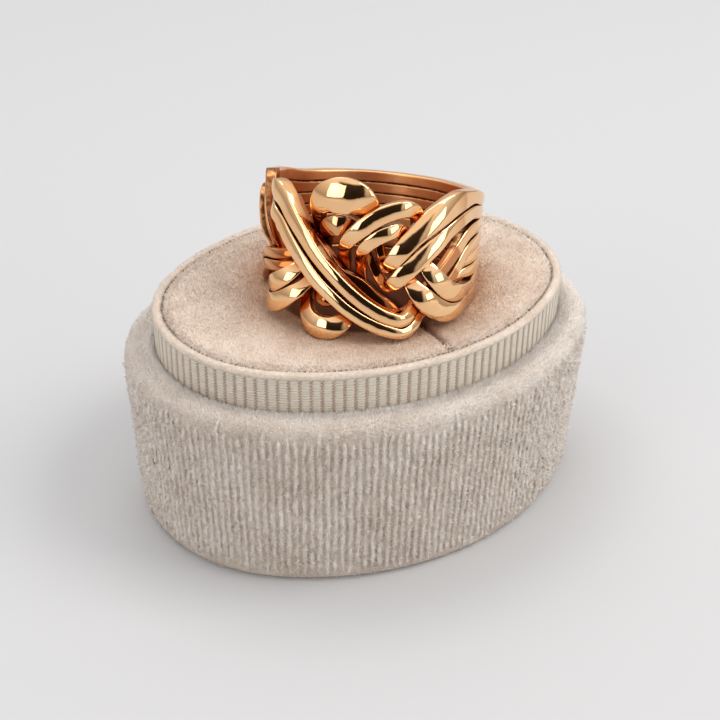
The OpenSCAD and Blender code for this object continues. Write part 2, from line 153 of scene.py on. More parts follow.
KNOTS = [
    [  # band 1
        [-80, 6.15, 11.25, 1.35, 1.65, 0], [-70, 6.4, 11.25, 1.35, 1.6, 0], [-63, 6.7, 11.3, 1.4, 1.5, 5],
        [-58.5, 6.3, 11.55, 1.4, 1.2, 12], [-55.5, 5, 11.85, 1.35, 0.95, 14],
        [-52.5, 3.2, 11.95, 1.3, 0.85, 14], [-49, 1.3, 11.7, 1.25, 0.85, 10],
        [-46, -0.4, 11, 1.15, 0.85, 0], [-43.2, -2, 10.8, 1.1, 0.85, 0], [-41, -3.2, 11.2, 1.2, 0.9, 0],
        [-38, -3.95, 12.1, 1.6, 1, 0], [-33.5, -3.7, 12.8, 1.85, 1.1, 0], [-27, -2.85, 12.85, 1.85, 1.1, 0],
        [-22.3, -1.95, 12.3, 1.55, 1, 0], [-19.5, -0.95, 11.4, 1.15, 0.85, 0],
        [-17.6, 0.1, 10.68, 1.1, 0.85, 0], [-15.5, 1.6, 10.55, 1.1, 0.85, 0],
        [-13.8, 3, 10.65, 1.1, 0.85, 0], [-12, 4.3, 11.5, 1.4, 0.95, 0], [-9.5, 5.5, 12.35, 2.2, 1.05, 0],
        [-5.5, 6.4, 12.8, 3.1, 1.1, 0], [2, 6.85, 12.85, 3.7, 1.1, 0], [9, 6.6, 12.7, 3.4, 1.1, 0],
        [13.5, 5.8, 12.15, 2.7, 1, 0], [16.8, 4.4, 11.25, 1.7, 0.9, 0], [19.3, 2.9, 10.65, 1.15, 0.9, 0],
        [22, 1.45, 10.55, 1.05, 0.9, 0], [24, 0.3, 10.8, 1.1, 0.9, 0], [25.6, -0.3, 11.6, 1.3, 0.9, -5],
        [27.2, 0.3, 12.4, 1.45, 1, -12], [30.2, 1.45, 12.85, 1.5, 1.2, -18],
        [35, 2.75, 12.9, 1.55, 1.3, -20], [41, 4.1, 12.9, 1.6, 1.3, -18], [49, 5.4, 12.8, 1.6, 1.25, -10],
        [58, 6.2, 12.4, 1.6, 1.25, 0], [69, 6.5, 11.8, 1.5, 1.4, 0], [80, 6.5, 11.4, 1.45, 1.6, 0],
    ],
    [  # band 2
        [-84, 4.6, 11.25, 1.35, 1.65, 0], [-75, 4.75, 11.4, 1.3, 1.4, 0], [-68, 4.75, 11.85, 1.3, 1.1, 5],
        [-64, 4.1, 12.05, 1.3, 0.95, 12], [-61.5, 2.7, 12.1, 1.3, 0.85, 14],
        [-58.8, 1, 11.9, 1.25, 0.85, 12], [-56.2, -0.6, 10.95, 1.15, 0.85, 0],
        [-53, -2.2, 10.75, 1.1, 0.85, 0], [-49.5, -3.8, 10.8, 1.15, 0.85, 0],
        [-45.5, -5, 11.4, 1.3, 0.9, 0], [-40, -5.7, 12.3, 1.6, 1, 0], [-33.5, -5.8, 12.8, 2, 1.1, 0],
        [-26.5, -5.12, 12.85, 2, 1.1, 0], [-20.5, -4.2, 12.7, 1.75, 1.05, 0],
        [-16.2, -3.3, 12.1, 1.4, 0.95, 0], [-13.3, -2.1, 11.25, 1.15, 0.85, 0],
        [-11.6, -0.9, 10.6, 1.1, 0.85, 0], [-9.8, 0.7, 10.5, 1.15, 0.85, 0],
        [-8.3, 1.9, 10.7, 1.25, 0.85, 0], [-5.2, 3.2, 11.75, 1.95, 0.95, 0], [0.2, 3.72, 12.05, 2.2, 1, 0],
        [5.8, 3.45, 11.35, 1.85, 0.9, 0], [9.8, 2.7, 10.8, 1.4, 0.9, 0], [12.6, 1.95, 10.55, 1.1, 0.9, 0],
        [15.8, 0.8, 10.5, 1.05, 0.9, 0], [19.2, -0.5, 10.5, 1.05, 0.9, 0], [23.2, -1.75, 10.8, 1.1, 0.9, 0],
        [26.6, -2.25, 11.6, 1.3, 0.9, -5], [29.2, -1.75, 12.4, 1.4, 1, -10],
        [33.5, -0.6, 12.85, 1.45, 1.15, -14], [40, 0.85, 12.9, 1.5, 1.2, -14],
        [47, 2.2, 12.85, 1.45, 1.15, -10], [55, 3.5, 12.55, 1.45, 1.15, 0], [66, 4.45, 12, 1.4, 1.3, 0],
        [78, 4.85, 11.5, 1.4, 1.5, 0],
    ],
    [  # band 3
        [-80, 3.15, 11.15, 1.35, 1.5, 0], [-70, 3.5, 10.85, 1.25, 1, 0], [-62, 4.05, 10.75, 1.2, 0.8, 0],
        [-54, 4.7, 10.78, 1.2, 0.8, 0], [-47, 5.4, 11, 1.2, 0.85, 0], [-42, 5.95, 11.6, 1.3, 0.95, 0],
        [-38, 6.25, 12.4, 1.45, 1.25, 0], [-33.5, 6.25, 12.65, 1.65, 1.6, 0],
        [-29.5, 5.75, 12.65, 1.75, 1.6, 0], [-23, 4.2, 12.75, 1.65, 1.4, 0], [-15, 2.3, 12.85, 1.5, 1.2, 0],
        [-7, 0.25, 12.85, 1.25, 1.2, 0], [1, -1.4, 12.85, 1.2, 1.2, 0], [9, -2.95, 12.85, 1.2, 1.2, 0],
        [18, -4.35, 12.85, 1.2, 1.2, 0], [27, -5.35, 12.85, 1.25, 1.2, 0], [34, -5.65, 12.8, 1.25, 1.15, 0],
        [38.3, -5.15, 12.3, 1.15, 1, 0], [42.2, -4.2, 11.7, 1.1, 0.9, 0], [48, -2.8, 11.75, 1.15, 0.9, 0],
        [54, -1.4, 11.75, 1.2, 0.9, 0], [60, -0.1, 11.8, 1.3, 0.9, 0], [67, 1.3, 11.75, 1.35, 1, 0],
        [75, 2.5, 11.5, 1.35, 1.25, 0], [84, 3.05, 11.35, 1.4, 1.6, 0],
    ],
    [  # band 4
        [-80, 1.6, 11.15, 1.35, 1.5, 0], [-70, 1.85, 10.85, 1.25, 1, 0], [-62, 2.35, 10.75, 1.2, 0.8, 0],
        [-54, 3.05, 10.78, 1.15, 0.8, 0], [-47, 3.7, 11, 1.15, 0.85, 0], [-42, 4.15, 11.6, 1.15, 0.95, 0],
        [-38, 4.3, 12.3, 1.25, 1.15, 0], [-34, 3.95, 12.75, 1.4, 1.4, 0], [-30, 3.25, 12.75, 1.45, 1.4, 0],
        [-23, 1.45, 12.8, 1.45, 1.3, 0], [-15, -0.4, 12.85, 1.35, 1.2, 0], [-7, -2.2, 12.85, 1.3, 1.2, 0],
        [1, -3.6, 12.85, 1.2, 1.2, 0], [9, -4.9, 12.85, 1.15, 1.2, 0], [18, -6, 12.85, 1.15, 1.2, 0],
        [27, -6.75, 12.85, 1.15, 1.2, 0], [34.5, -7, 12.85, 1.1, 1.15, 0], [40, -6.45, 12.5, 1.05, 1, 0],
        [44.5, -5.5, 11.85, 1, 0.9, 0], [50.5, -4.4, 11.75, 1.05, 0.9, 0], [57, -3.1, 11.75, 1.1, 0.9, 0],
        [63, -1.8, 11.8, 1.15, 0.9, 0], [69, -0.5, 11.75, 1.25, 1, 0], [76, 0.7, 11.5, 1.3, 1.25, 0],
        [85, 1.35, 11.35, 1.4, 1.6, 0],
    ],
    [  # band 5
        [-82, 0, 11.15, 1.35, 1.5, 0], [-73, 0.3, 10.5, 1.2, 1, 0], [-65, 0.9, 9.95, 1.05, 0.8, 0],
        [-56, 1.85, 9.86, 0.95, 0.8, 0], [-48, 2.95, 9.9, 0.95, 0.8, 0], [-41.5, 4, 10.1, 0.95, 0.8, 0],
        [-36, 4.9, 10.45, 0.95, 0.85, 0], [-30.5, 5.2, 10.9, 0.95, 0.85, 0],
        [-24.5, 4.4, 11.35, 0.95, 0.9, 0], [-15.3, 2.32, 11.62, 1, 0.9, 0],
        [-5.8, 0.25, 11.68, 1.5, 0.9, 0], [2, -1.38, 11.65, 1.4, 0.9, 0], [10.9, -2.6, 11.6, 2.15, 0.9, 0],
        [19.6, -3.97, 11.6, 2.15, 0.9, 0], [28, -4.94, 11.55, 2, 0.9, 0], [34, -5.55, 11.3, 1.3, 0.9, 0],
        [39, -5.3, 10.85, 0.95, 0.85, 0], [44.5, -4.8, 10.65, 0.95, 0.85, 0],
        [51, -4.1, 10.6, 0.95, 0.85, 0], [58, -3.25, 10.6, 0.95, 0.85, 0], [65, -2.3, 10.65, 1, 0.85, 0],
        [71, -1.45, 10.75, 1, 0.9, 0], [77, -0.75, 10.95, 1.1, 1.05, 0], [85, -0.2, 11.25, 1.3, 1.5, 0],
    ],
    [  # band 6
        [-82, -1.55, 11.15, 1.35, 1.5, 0], [-73, -1.2, 10.5, 1.2, 1, 0], [-65, -0.5, 9.95, 1.05, 0.8, 0],
        [-56, 0.45, 9.86, 0.95, 0.8, 0], [-48, 1.5, 9.9, 0.95, 0.8, 0], [-41.5, 2.5, 10.1, 0.95, 0.8, 0],
        [-37, 3.3, 10.4, 0.95, 0.85, 0], [-32.5, 3.75, 10.8, 0.95, 0.85, 0],
        [-27.5, 3.1, 11.3, 0.95, 0.9, 0], [-18.5, 1.05, 11.6, 0.95, 0.9, 0],
        [-10, -0.9, 11.65, 0.95, 0.9, 0], [-2, -2.5, 11.65, 0.95, 0.9, 0],
        [6.5, -4.05, 11.65, 0.95, 0.9, 0], [16.5, -5.5, 11.65, 0.95, 0.9, 0],
        [26, -6.5, 11.6, 0.95, 0.9, 0], [33, -6.9, 11.35, 0.95, 0.9, 0], [39, -6.5, 10.85, 0.95, 0.85, 0],
        [45, -6, 10.65, 0.95, 0.85, 0], [52, -5.3, 10.6, 0.95, 0.85, 0], [59.5, -4.4, 10.6, 0.95, 0.85, 0],
        [67, -3.45, 10.65, 1, 0.85, 0], [73, -2.65, 10.8, 1, 0.9, 0], [79, -1.95, 11, 1.15, 1.1, 0],
        [87, -1.65, 11.25, 1.3, 1.5, 0],
    ],
    [  # band 7
        [-80, -3.2, 11.2, 1.35, 1.6, 0], [-69, -2.75, 11.25, 1.3, 1.2, 0],
        [-61, -2.1, 11.55, 1.25, 0.95, 0], [-54, -1.4, 11.9, 1.15, 0.85, 0], [-47, -1, 12.05, 1.1, 0.85, 0],
        [-40.5, -0.9, 11.9, 1.1, 0.85, 0], [-34.5, -0.7, 11.35, 1.1, 0.85, 0],
        [-29, -0.4, 10.75, 1.1, 0.85, 0], [-24, -0.65, 10.35, 1.05, 0.8, 0],
        [-19.9, -1.25, 10.32, 1.05, 0.8, 0], [-16.2, -2.15, 10.3, 1.05, 0.8, 0],
        [-12.9, -3.1, 10.45, 1.1, 0.85, 0], [-9.6, -3.85, 11, 1.25, 0.95, 0],
        [-5.3, -4.55, 11.35, 1.4, 1, 0], [-1.2, -4.1, 10.85, 1.2, 0.85, 0],
        [1.2, -2.9, 10.55, 1.3, 0.85, 0], [2.3, -1.5, 10.5, 1.45, 0.85, 0],
        [2.9, -0.1, 10.75, 1.35, 0.85, 0], [3.9, 1.15, 11.6, 1.25, 0.9, 0], [6.4, 2.35, 12.5, 1.5, 1.05, 0],
        [10.5, 3.4, 12.9, 1.7, 1.1, 0], [16.5, 4.6, 12.95, 1.75, 1.1, 0], [24, 5.6, 12.95, 1.75, 1.1, 0],
        [31, 6, 12.9, 1.65, 1.05, 0], [36.5, 5.7, 12.3, 1.45, 1, 0], [40, 4.6, 11.5, 1.25, 0.9, 0],
        [41.6, 3.2, 11.1, 1.15, 0.9, 0], [42.6, 1.9, 11.1, 1.15, 0.9, 0], [43.8, 0.6, 11.5, 1.25, 0.95, 0],
        [45.8, -0.4, 12.4, 1.7, 1.05, 0], [50, -1.45, 12.9, 2, 1.1, 0], [55.5, -2.5, 12.95, 2.1, 1.1, 0],
        [61, -3, 12.9, 1.95, 1.1, 0], [68, -3.2, 12.5, 1.6, 1.1, 0], [76, -3.25, 11.9, 1.35, 1.2, 0],
        [85, -3.3, 11.4, 1.35, 1.5, 0],
    ],
    [  # band 8
        [-80, -4.75, 11.2, 1.4, 1.6, 0], [-69, -4.4, 11.25, 1.4, 1.2, 0], [-61, -3.7, 11.5, 1.3, 0.95, 0],
        [-54, -2.9, 11.75, 1.2, 0.85, 0], [-47, -2.35, 12, 1.15, 0.85, 0],
        [-40.5, -2.2, 11.9, 1.15, 0.85, 0], [-35, -2.05, 11.35, 1.15, 0.85, 0],
        [-30, -1.85, 10.8, 1.1, 0.85, 0], [-25.8, -2, 10.55, 1.1, 0.85, 0],
        [-22.2, -2.7, 10.55, 1.1, 0.85, 0], [-19.2, -3.7, 10.65, 1.1, 0.85, 0],
        [-16.4, -4.95, 11.3, 1.25, 0.95, 0], [-12.8, -6.2, 12.1, 1.5, 1, 0],
        [-7, -7.05, 12.55, 1.9, 1.1, 0], [0, -7.1, 12.55, 1.9, 1.1, 0], [6, -6.4, 11.9, 1.5, 1, 0],
        [9.8, -5.2, 10.68, 1.1, 0.85, 0], [12, -3.8, 10.5, 1.25, 0.85, 0], [12.7, -2.2, 10.5, 1.3, 0.85, 0],
        [12.5, -0.7, 10.8, 1.15, 0.85, 0], [12.5, 0.6, 11.6, 1.2, 0.9, 0], [14.2, 1.75, 12.45, 1.35, 1, 0],
        [18.5, 2.75, 12.85, 1.45, 1, 0], [24, 3.5, 12.9, 1.5, 1, 0], [29.3, 3.75, 12.3, 1.4, 1, 0],
        [33, 3.1, 11.35, 1.2, 0.85, 0], [34.8, 1.8, 11.1, 1.15, 0.85, 0], [35.6, 0.4, 11.05, 1.15, 0.85, 0],
        [36.6, -1, 11.4, 1.25, 0.95, 0], [39, -2.25, 12.3, 1.75, 1.05, 0], [43.5, -3.3, 12.9, 2.25, 1.1, 0],
        [50, -4.4, 12.95, 2.35, 1.1, 0], [57, -5, 12.95, 2.1, 1.1, 0], [65, -4.95, 12.7, 1.6, 1.1, 0],
        [73, -4.75, 12.1, 1.5, 1.1, 0], [82, -4.85, 11.45, 1.45, 1.45, 0],
    ],
]
# The plain shank: [degrees from the front, height from one band to the next]
SHANK_PITCH = [(80, 1.6), (95, 1.47), (110, 1.33), (130, 1.28), (180, 1.27)]
SHANK_ANGLES = (92, 112, 136, 160, 180, 200, 224, 248, 266)
SHANK_INNER_R, SIDE_T, BACK_T = 10.4, 1.7, 1.55
SHANK_MID_Z, BAND_GAP = 0.75, 0.05
MM_PER_DEGREE = 0.21
# How the ring lies on the pad
RING_AT = Vector((0.97, -0.21, 30.24))
RING_TURN, RING_LEAN, RING_ROLL = -50.8, 14, 3.26
LEAN_HEADING, RING_DROP = 123, -0.6


def degrees_turn(angle, axis):
    return Matrix.Rotation(math.radians(angle), 4, axis)


ON_PAD = np.array(
    Matrix.Translation(RING_AT)
    @ degrees_turn(-LEAN_HEADING, "Z")
    @ degrees_turn(-RING_LEAN, "Y")
    @ degrees_turn(-RING_ROLL, "X")
    @ Matrix.Translation((0, 0, RING_DROP))
    @ degrees_turn(RING_TURN + LEAN_HEADING, "Z")
)


def from_ring_axis(points):
    """How far points of the part lie from the axis of the ring."""
    in_ring = np.column_stack([points, np.ones(len(points))]) @ np.linalg.inv(ON_PAD).T
    return np.hypot(in_ring[:, 0], in_ring[:, 1])


def band_rows(n):
    """All sections of band n from its tables, once around the ring."""
    rows = [list(row) for row in KNOTS[n - 1]]
    for angle in SHANK_ANGLES:
        away = min(angle, 360 - angle)
        pitch = np.interp(away, *zip(*SHANK_PITCH))
        thick = np.interp(away, (90, 180), (SIDE_T, BACK_T))
        height = SHANK_MID_Z + (4.5 - n) * pitch
        rows.append([angle, height, SHANK_INNER_R + thick / 2, pitch - BAND_GAP, thick, 0])
    return np.array(rows, float)


def smooth_rows(rows, step):
    """Sections between the rows on smooth curves, about one step apart."""
    count = len(rows)
    after = np.roll(rows, -1, axis=0)
    after[-1, 0] += 360
    run = after - rows
    reach = np.sqrt((run[:, 0] * MM_PER_DEGREE) ** 2 + run[:, 1] ** 2 + run[:, 2] ** 2)
    rate = run / reach[:, None]
    before, last = np.roll(rate, 1, axis=0), np.roll(reach, 1)
    slope = (before * reach[:, None] + rate * last[:, None]) / (reach + last)[:, None]
    found = []
    for i in range(count):
        long, steps = reach[i], max(1, round(reach[i] / step))
        for j in range(steps):
            u = j / steps
            found.append(
                (2 * u**3 - 3 * u**2 + 1) * rows[i]
                + (u**3 - 2 * u**2 + u) * slope[i] * long
                + (3 * u**2 - 2 * u**3) * after[i]
                + (u**3 - u**2) * slope[(i + 1) % count] * long
            )
    return np.array(found)


SECTION_STEP = 0.28
EDGE_R, EDGE_SHARE = 0.13, 0.3
EDGE_STEPS, FACE_STEPS = 3, 8
# The outer face's crown, as a share of the thickness, grows with the width
CROWN_LEAST, CROWN_MOST, CROWN_PER_MM = 0.07, 0.34, 0.14
CROWN_FROM_WIDTH, CROWN_THICK = 1.3, 1.1
# What counts as a band's wall: the share of its half width, and of its edge's rounding
NEAR_SIDE, ROUNDED = 0.985, 0.9
# Where bands are fuller than the frame's: [band, degrees of start, full, fade and end, added width]
FULLER = [
    [1, 26, 30, 36, 44, 0.4],
    [1, 36, 45, 62, 76, 0.85],
    [2, 28, 32, 46, 54, 0.38],
    [3, -46, -40, -32, -26, 0.55],
    [3, -30, -22, 28, 34, 0.13],
    [4, -30, -22, 28, 34, 0.13],
    [8, -18, -9, 4, 11, 0.45],
]


def band_section(width, thick):
    """A crowned section with rounded edges, as (across, out), with its shares of wall and inner face."""
    x, y = width / 2, thick / 2
    r = min(EDGE_R, EDGE_SHARE * width, EDGE_SHARE * thick)
    crown = CROWN_LEAST + CROWN_PER_MM * max(width - CROWN_FROM_WIDTH, 0)
    crown = min(crown, CROWN_MOST) * min(thick, CROWN_THICK)
    points = []

    def corner(cx, cy, start):
        for i in range(EDGE_STEPS + 1):
            a = math.radians(start + 90 * i / EDGE_STEPS)
            points.append([cx + r * math.cos(a), cy + r * math.sin(a)])

    corner(x - r, y - r, 0)
    for i in range(1, FACE_STEPS):
        points.append([(x - r) * (1 - 2 * i / FACE_STEPS), y])
    corner(-x + r, y - r, 90)
    corner(-x + r, -y + r, 180)
    for i in range(1, FACE_STEPS):
        points.append([(x - r) * (2 * i / FACE_STEPS - 1), -y])
    corner(x - r, -y + r, 270)
    points = np.array(points)
    outer = points[:, 1] > 0
    points[outer, 1] -= crown * (points[outer, 0] / x) ** 2 * (points[outer, 1] / y)
    across, out = np.abs(points[:, 0]), points[:, 1]
    wall = np.where((across > NEAR_SIDE * x) & (out < y - ROUNDED * r), 1.0, 0.0)
    # The inner edges' rounding counts as wall too: painted shade over the light line that it would catch
    # between the bands
    wall[(across > x - ROUNDED * r) & (out < 0)] = 1.0
    inner = np.where(out < -y / 2, 1.0, 0.0)
    return points, wall, inner


# Where oxide and the painted shade on inner edges lie, in degrees from the front, and how much of them
PARTNER_WALLS_TO, OPEN_WALL = 64, 0.15
LEGS_FROM, LEGS_TO, LEG_WALL = -63, -50, 0.75
# Bands whose middle runs deeper than DEEP_R are shaded over the run below it
DEEP_R, DEEP_RUN, DEEP_TO = 12.45, 0.9, 66


def oxide_and_shade_on(n, angle, across, wall):
    """A section's share of oxide and painted shade: on its walls and inner edges, in the knot mainly on the
    wall towards the partner band.
    """
    legs = n < 3 and LEGS_FROM < angle < LEGS_TO
    if n in (1, 8) and not legs:
        wall[across * (1 if n == 1 else -1) > 0] = 0
    if abs((angle + 180) % 360 - 180) < PARTNER_WALLS_TO:
        at_partner = across * (1 if n % 2 == 0 else -1) > 0
        wall = wall * np.where(at_partner, 1.0, LEG_WALL if legs else OPEN_WALL)
    return wall


def band_mesh(name, n):
    """A closed loop with the sections of band n, laid on the pad."""
    path = smooth_rows(band_rows(n), SECTION_STEP)
    angle = np.radians(path[:, 0])
    centre = np.column_stack([path[:, 2] * np.sin(angle), -path[:, 2] * np.cos(angle), path[:, 1]])
    run = np.roll(centre, -1, axis=0) - np.roll(centre, 1, axis=0)
    run /= np.linalg.norm(run, axis=1)[:, None]
    outward = np.column_stack([np.sin(angle), -np.cos(angle), 0 * angle])
    side = np.cross(outward, run)
    side /= np.linalg.norm(side, axis=1)[:, None]
    face = np.cross(run, side)
    lean = np.radians(path[:, 5])[:, None]
    side, face = side * np.cos(lean) + face * np.sin(lean), face * np.cos(lean) - side * np.sin(lean)
    for band, start, full, fade, end, wider in FULLER:
        if band == n:
            path[:, 3] += wider * np.interp(path[:, 0], (start, full, fade, end), (0, 1, 1, 0))
    points, walls, inners, recess_shades = [], [], [], []
    for i, (degrees, _, radius, width, thick, _) in enumerate(path):
        section, wall, inner = band_section(width, thick)
        # Painted shade for bands that run deep under their neighbours in the knot
        in_knot = abs((degrees + 180) % 360 - 180) < DEEP_TO
        recess_shades.append(np.full(len(section), min(max((DEEP_R - radius) / DEEP_RUN, 0), 1) * in_knot))
        points.append(centre[i] + section[:, :1] * side[i] + section[:, 1:] * face[i])
        walls.append(oxide_and_shade_on(n, degrees, section[:, 0], wall))
        inners.append(inner)
    faces = grid_faces(len(path), len(points[0]), wrap_rows=True)
    points = np.concatenate(points) @ ON_PAD[:3, :3].T + ON_PAD[:3, 3]
    shades = {"wall": np.concatenate(walls), "inner": np.concatenate(inners), "deep": np.concatenate(recess_shades)}
    return mesh_object(name, points, faces, floats=shades)


# Materials

WHITE = (1, 1, 1)


def new_material(name):
    material = bpy.data.materials.new(name)
    material.use_nodes = True
    return material, *parts_of(material)


def parts_of(material):
    """A material's nodes, its links and its main shader."""
    nodes = material.node_tree.nodes
    return nodes, material.node_tree.links, next(n for n in nodes if n.type == "BSDF_PRINCIPLED")


def noise_at(nodes, links, coordinate, scale, detail=3.0, rough=0.55):
    texture = nodes.new("ShaderNodeTexNoise")
    texture.inputs["Scale"].default_value = scale
    texture.inputs["Detail"].default_value = detail
    texture.inputs["Roughness"].default_value = rough
    links.new(coordinate, texture.inputs["Vector"])
    return texture.outputs["Fac"]


def ramp(nodes, links, value, stops):
    """A colour ramp with stops of (place, colour)."""
    node = nodes.new("ShaderNodeValToRGB")
    elements = node.color_ramp.elements
    while len(elements) < len(stops):
        elements.new(0.5)
    for element, (place, colour) in zip(elements, stops):
        element.position = place
        element.color = (*colour, 1)
    links.new(value, node.inputs["Fac"])
    return node.outputs["Color"]


def put(links, value, socket):
    """Links a socket, or sets a plain value or colour."""
    if isinstance(value, bpy.types.NodeSocket):
        links.new(value, socket)
    else:
        socket.default_value = (*value, 1) if isinstance(value, tuple) else value


def mixed(nodes, links, share, first, second, kind="MIX"):
    """Two colours mixed; each may be a socket or a plain colour."""
    node = nodes.new("ShaderNodeMix")
    node.data_type = "RGBA"
    node.blend_type = kind
    for key, value in ((0, share), (6, first), (7, second)):
        put(links, value, node.inputs[key])
    return node.outputs[2]


def number(nodes, links, operation, first, second=0.0):
    """A sum or a comparison of two numbers; each may be a socket or a plain number."""
    node = nodes.new("ShaderNodeMath")
    node.operation = operation
    put(links, first, node.inputs[0])
    put(links, second, node.inputs[1])
    return node.outputs["Value"]


def between(nodes, links, value, low, high):
    """A number that runs from low to high as a value runs from 0 to 1."""
    node = nodes.new("ShaderNodeMapRange")
    node.inputs["To Min"].default_value = low
    node.inputs["To Max"].default_value = high
    links.new(value, node.inputs["Value"])
    return node.outputs["Result"]


def bumped(nodes, links, shader, layers):
    """Bumps one over another on a shader: layers of (height, strength, distance in millimetres)."""
    normal = None
    for height, strength, distance in layers:
        node = nodes.new("ShaderNodeBump")
        node.inputs["Strength"].default_value = strength
        node.inputs["Distance"].default_value = distance * MM
        links.new(height, node.inputs["Height"])
        if normal:
            links.new(normal, node.inputs["Normal"])
        normal = node.outputs["Normal"]
    links.new(normal, shader.inputs["Normal"])


def object_coordinates(nodes):
    return nodes.new("ShaderNodeTexCoord").outputs["Object"]


def attribute(nodes, name):
    node = nodes.new("ShaderNodeAttribute")
    node.attribute_name = name
    return node.outputs["Fac"]


def rose_gold():
    """Polished outer faces; copper red inside the ring, a painted reflection of the gold across the ring;
    dark oxide down the walls between the bands, with painted shade on the bands' inner edges; and painted
    shade on bands that run deep under their neighbours in the knot.
    """
    material, nodes, links, shader = new_material("polished_rose_gold")
    here = object_coordinates(nodes)
    wall, inner = attribute(nodes, "wall"), attribute(nodes, "inner")
    patches, inner_patches = noise_at(nodes, links, here, 260), noise_at(nodes, links, here, 300, 2)
    tone = ramp(nodes, links, patches, [(0.35, (0.94, 0.55, 0.27)), (0.7, (0.98, 0.63, 0.34))])
    # Painted reflection: the inner faces are redder copper, as the gold there mirrors the gold across the
    # ring
    red = ramp(nodes, links, inner_patches, [(0.35, (0.90, 0.42, 0.17)), (0.7, (0.98, 0.54, 0.26))])
    stains = noise_at(nodes, links, here, 1900, 5)
    oxide_and_shade = ramp(nodes, links, stains, [(0.38, (0.10, 0.035, 0.012)), (0.66, (0.62, 0.30, 0.12))])
    # Painted shade, darkest on bands that run deep in the knot
    recess_shade = mixed(nodes, links, attribute(nodes, "deep"), WHITE, (0.50, 0.24, 0.13))
    colour = mixed(nodes, links, 1.0, mixed(nodes, links, inner, tone, red), recess_shade, "MULTIPLY")
    links.new(mixed(nodes, links, wall, colour, oxide_and_shade), shader.inputs["Base Color"])
    shader.inputs["Metallic"].default_value = 1
    dulled = number(nodes, links, "MAXIMUM", wall, inner)
    links.new(between(nodes, links, dulled, 0.05, 0.34), shader.inputs["Roughness"])
    wave = noise_at(nodes, links, here, 420, 2)
    scuffs = noise_at(nodes, links, here, 5200, 4)
    bumped(nodes, links, shader, [(wave, 0.14, 0.3), (scuffs, 0.04, 0.02)])
    return material


def velvet(name, deep, mid, light, patch=190, grain=5200, sheen=0.5):
    """Short pile: patches brushed one way or another, fine fibres and a pale sheen."""
    material, nodes, links, shader = new_material(name)
    here = object_coordinates(nodes)
    patches = noise_at(nodes, links, here, patch, 4, 0.6)
    fibres = noise_at(nodes, links, here, grain, 6, 0.7)
    brushed = ramp(nodes, links, patches, [(0.3, deep), (0.5, mid), (0.72, light)])
    speckle = ramp(nodes, links, fibres, [(0.3, deep), (0.52, mid), (0.7, light)])
    links.new(mixed(nodes, links, 0.5, brushed, speckle), shader.inputs["Base Color"])
    shader.inputs["Roughness"].default_value = 0.95
    shader.inputs["Specular IOR Level"].default_value = 0.12
    shader.inputs["Sheen Weight"].default_value = sheen
    shader.inputs["Sheen Roughness"].default_value = 0.45
    shader.inputs["Sheen Tint"].default_value = (1, 0.95, 0.91, 1)
    bumped(nodes, links, shader, [(patches, 0.25, 0.6), (fibres, 0.7, 0.16)])
    return material


def padded_velvet(name, deep, mid, light, patch=190, grain=5200, sheen=0.5):
    """The pad's velvet, with a warm painted shadow and painted reflection of the gold around the ring, and
    dark painted shade, without sheen, inside the ring.
    """
    material = velvet(name, deep, mid, light, patch, grain, sheen)
    nodes, links, shader = parts_of(material)
    cloth = shader.inputs["Base Color"].links[0].from_socket
    hollow = attribute(nodes, "hollow")
    # Painted shadow and painted reflection of the gold around the ring: a warm, darker tint that fades with
    # distance from the ring
    glow = mixed(nodes, links, attribute(nodes, "glow"), WHITE, (0.66, 0.44, 0.29))
    # Painted shade inside the ring: a dark red-brown tint; the sheen is also taken away there
    tint = mixed(nodes, links, hollow, glow, (0.115, 0.042, 0.022))
    links.new(mixed(nodes, links, 1.0, cloth, tint, "MULTIPLY"), shader.inputs["Base Color"])
    links.new(between(nodes, links, hollow, sheen, 0), shader.inputs["Sheen Weight"])
    return material


def ribbon_cloth(name, dark, light, roughness=0.7):
    """Ribbon: cross threads, and tones that are stretched upwards."""
    material, nodes, links, shader = new_material(name)
    here = object_coordinates(nodes)
    stretch = nodes.new("ShaderNodeMapping")
    stretch.inputs["Scale"].default_value = (1, 1, 5)
    links.new(here, stretch.inputs["Vector"])
    threads = noise_at(nodes, links, stretch.outputs["Vector"], 1500, 3)
    weave = nodes.new("ShaderNodeTexWave")
    weave.bands_direction = "Z"
    weave.inputs["Scale"].default_value = 1050
    weave.inputs["Distortion"].default_value = 1.2
    weave.inputs["Detail"].default_value = 2
    links.new(here, weave.inputs["Vector"])
    tone = ramp(nodes, links, threads, [(0.3, dark), (0.65, light)])
    lines = ramp(nodes, links, weave.outputs["Fac"], [(0.1, dark), (0.6, light)])
    links.new(mixed(nodes, links, 0.45, tone, lines), shader.inputs["Base Color"])
    shader.inputs["Roughness"].default_value = roughness
    shader.inputs["Sheen Weight"].default_value = 0.15
    shader.inputs["Sheen Roughness"].default_value = 0.4
    bumped(nodes, links, shader, [(weave.outputs["Fac"], 0.35, 0.05), (threads, 0.3, 0.05)])
    return material


# Velvets: [name, deep, middle and light shade, patches and grain per metre, sheen]
GOLD = rose_gold()
BASE_VELVET = velvet("base_velvet", (0.44, 0.35, 0.28), (0.66, 0.56, 0.48), (0.86, 0.78, 0.71))
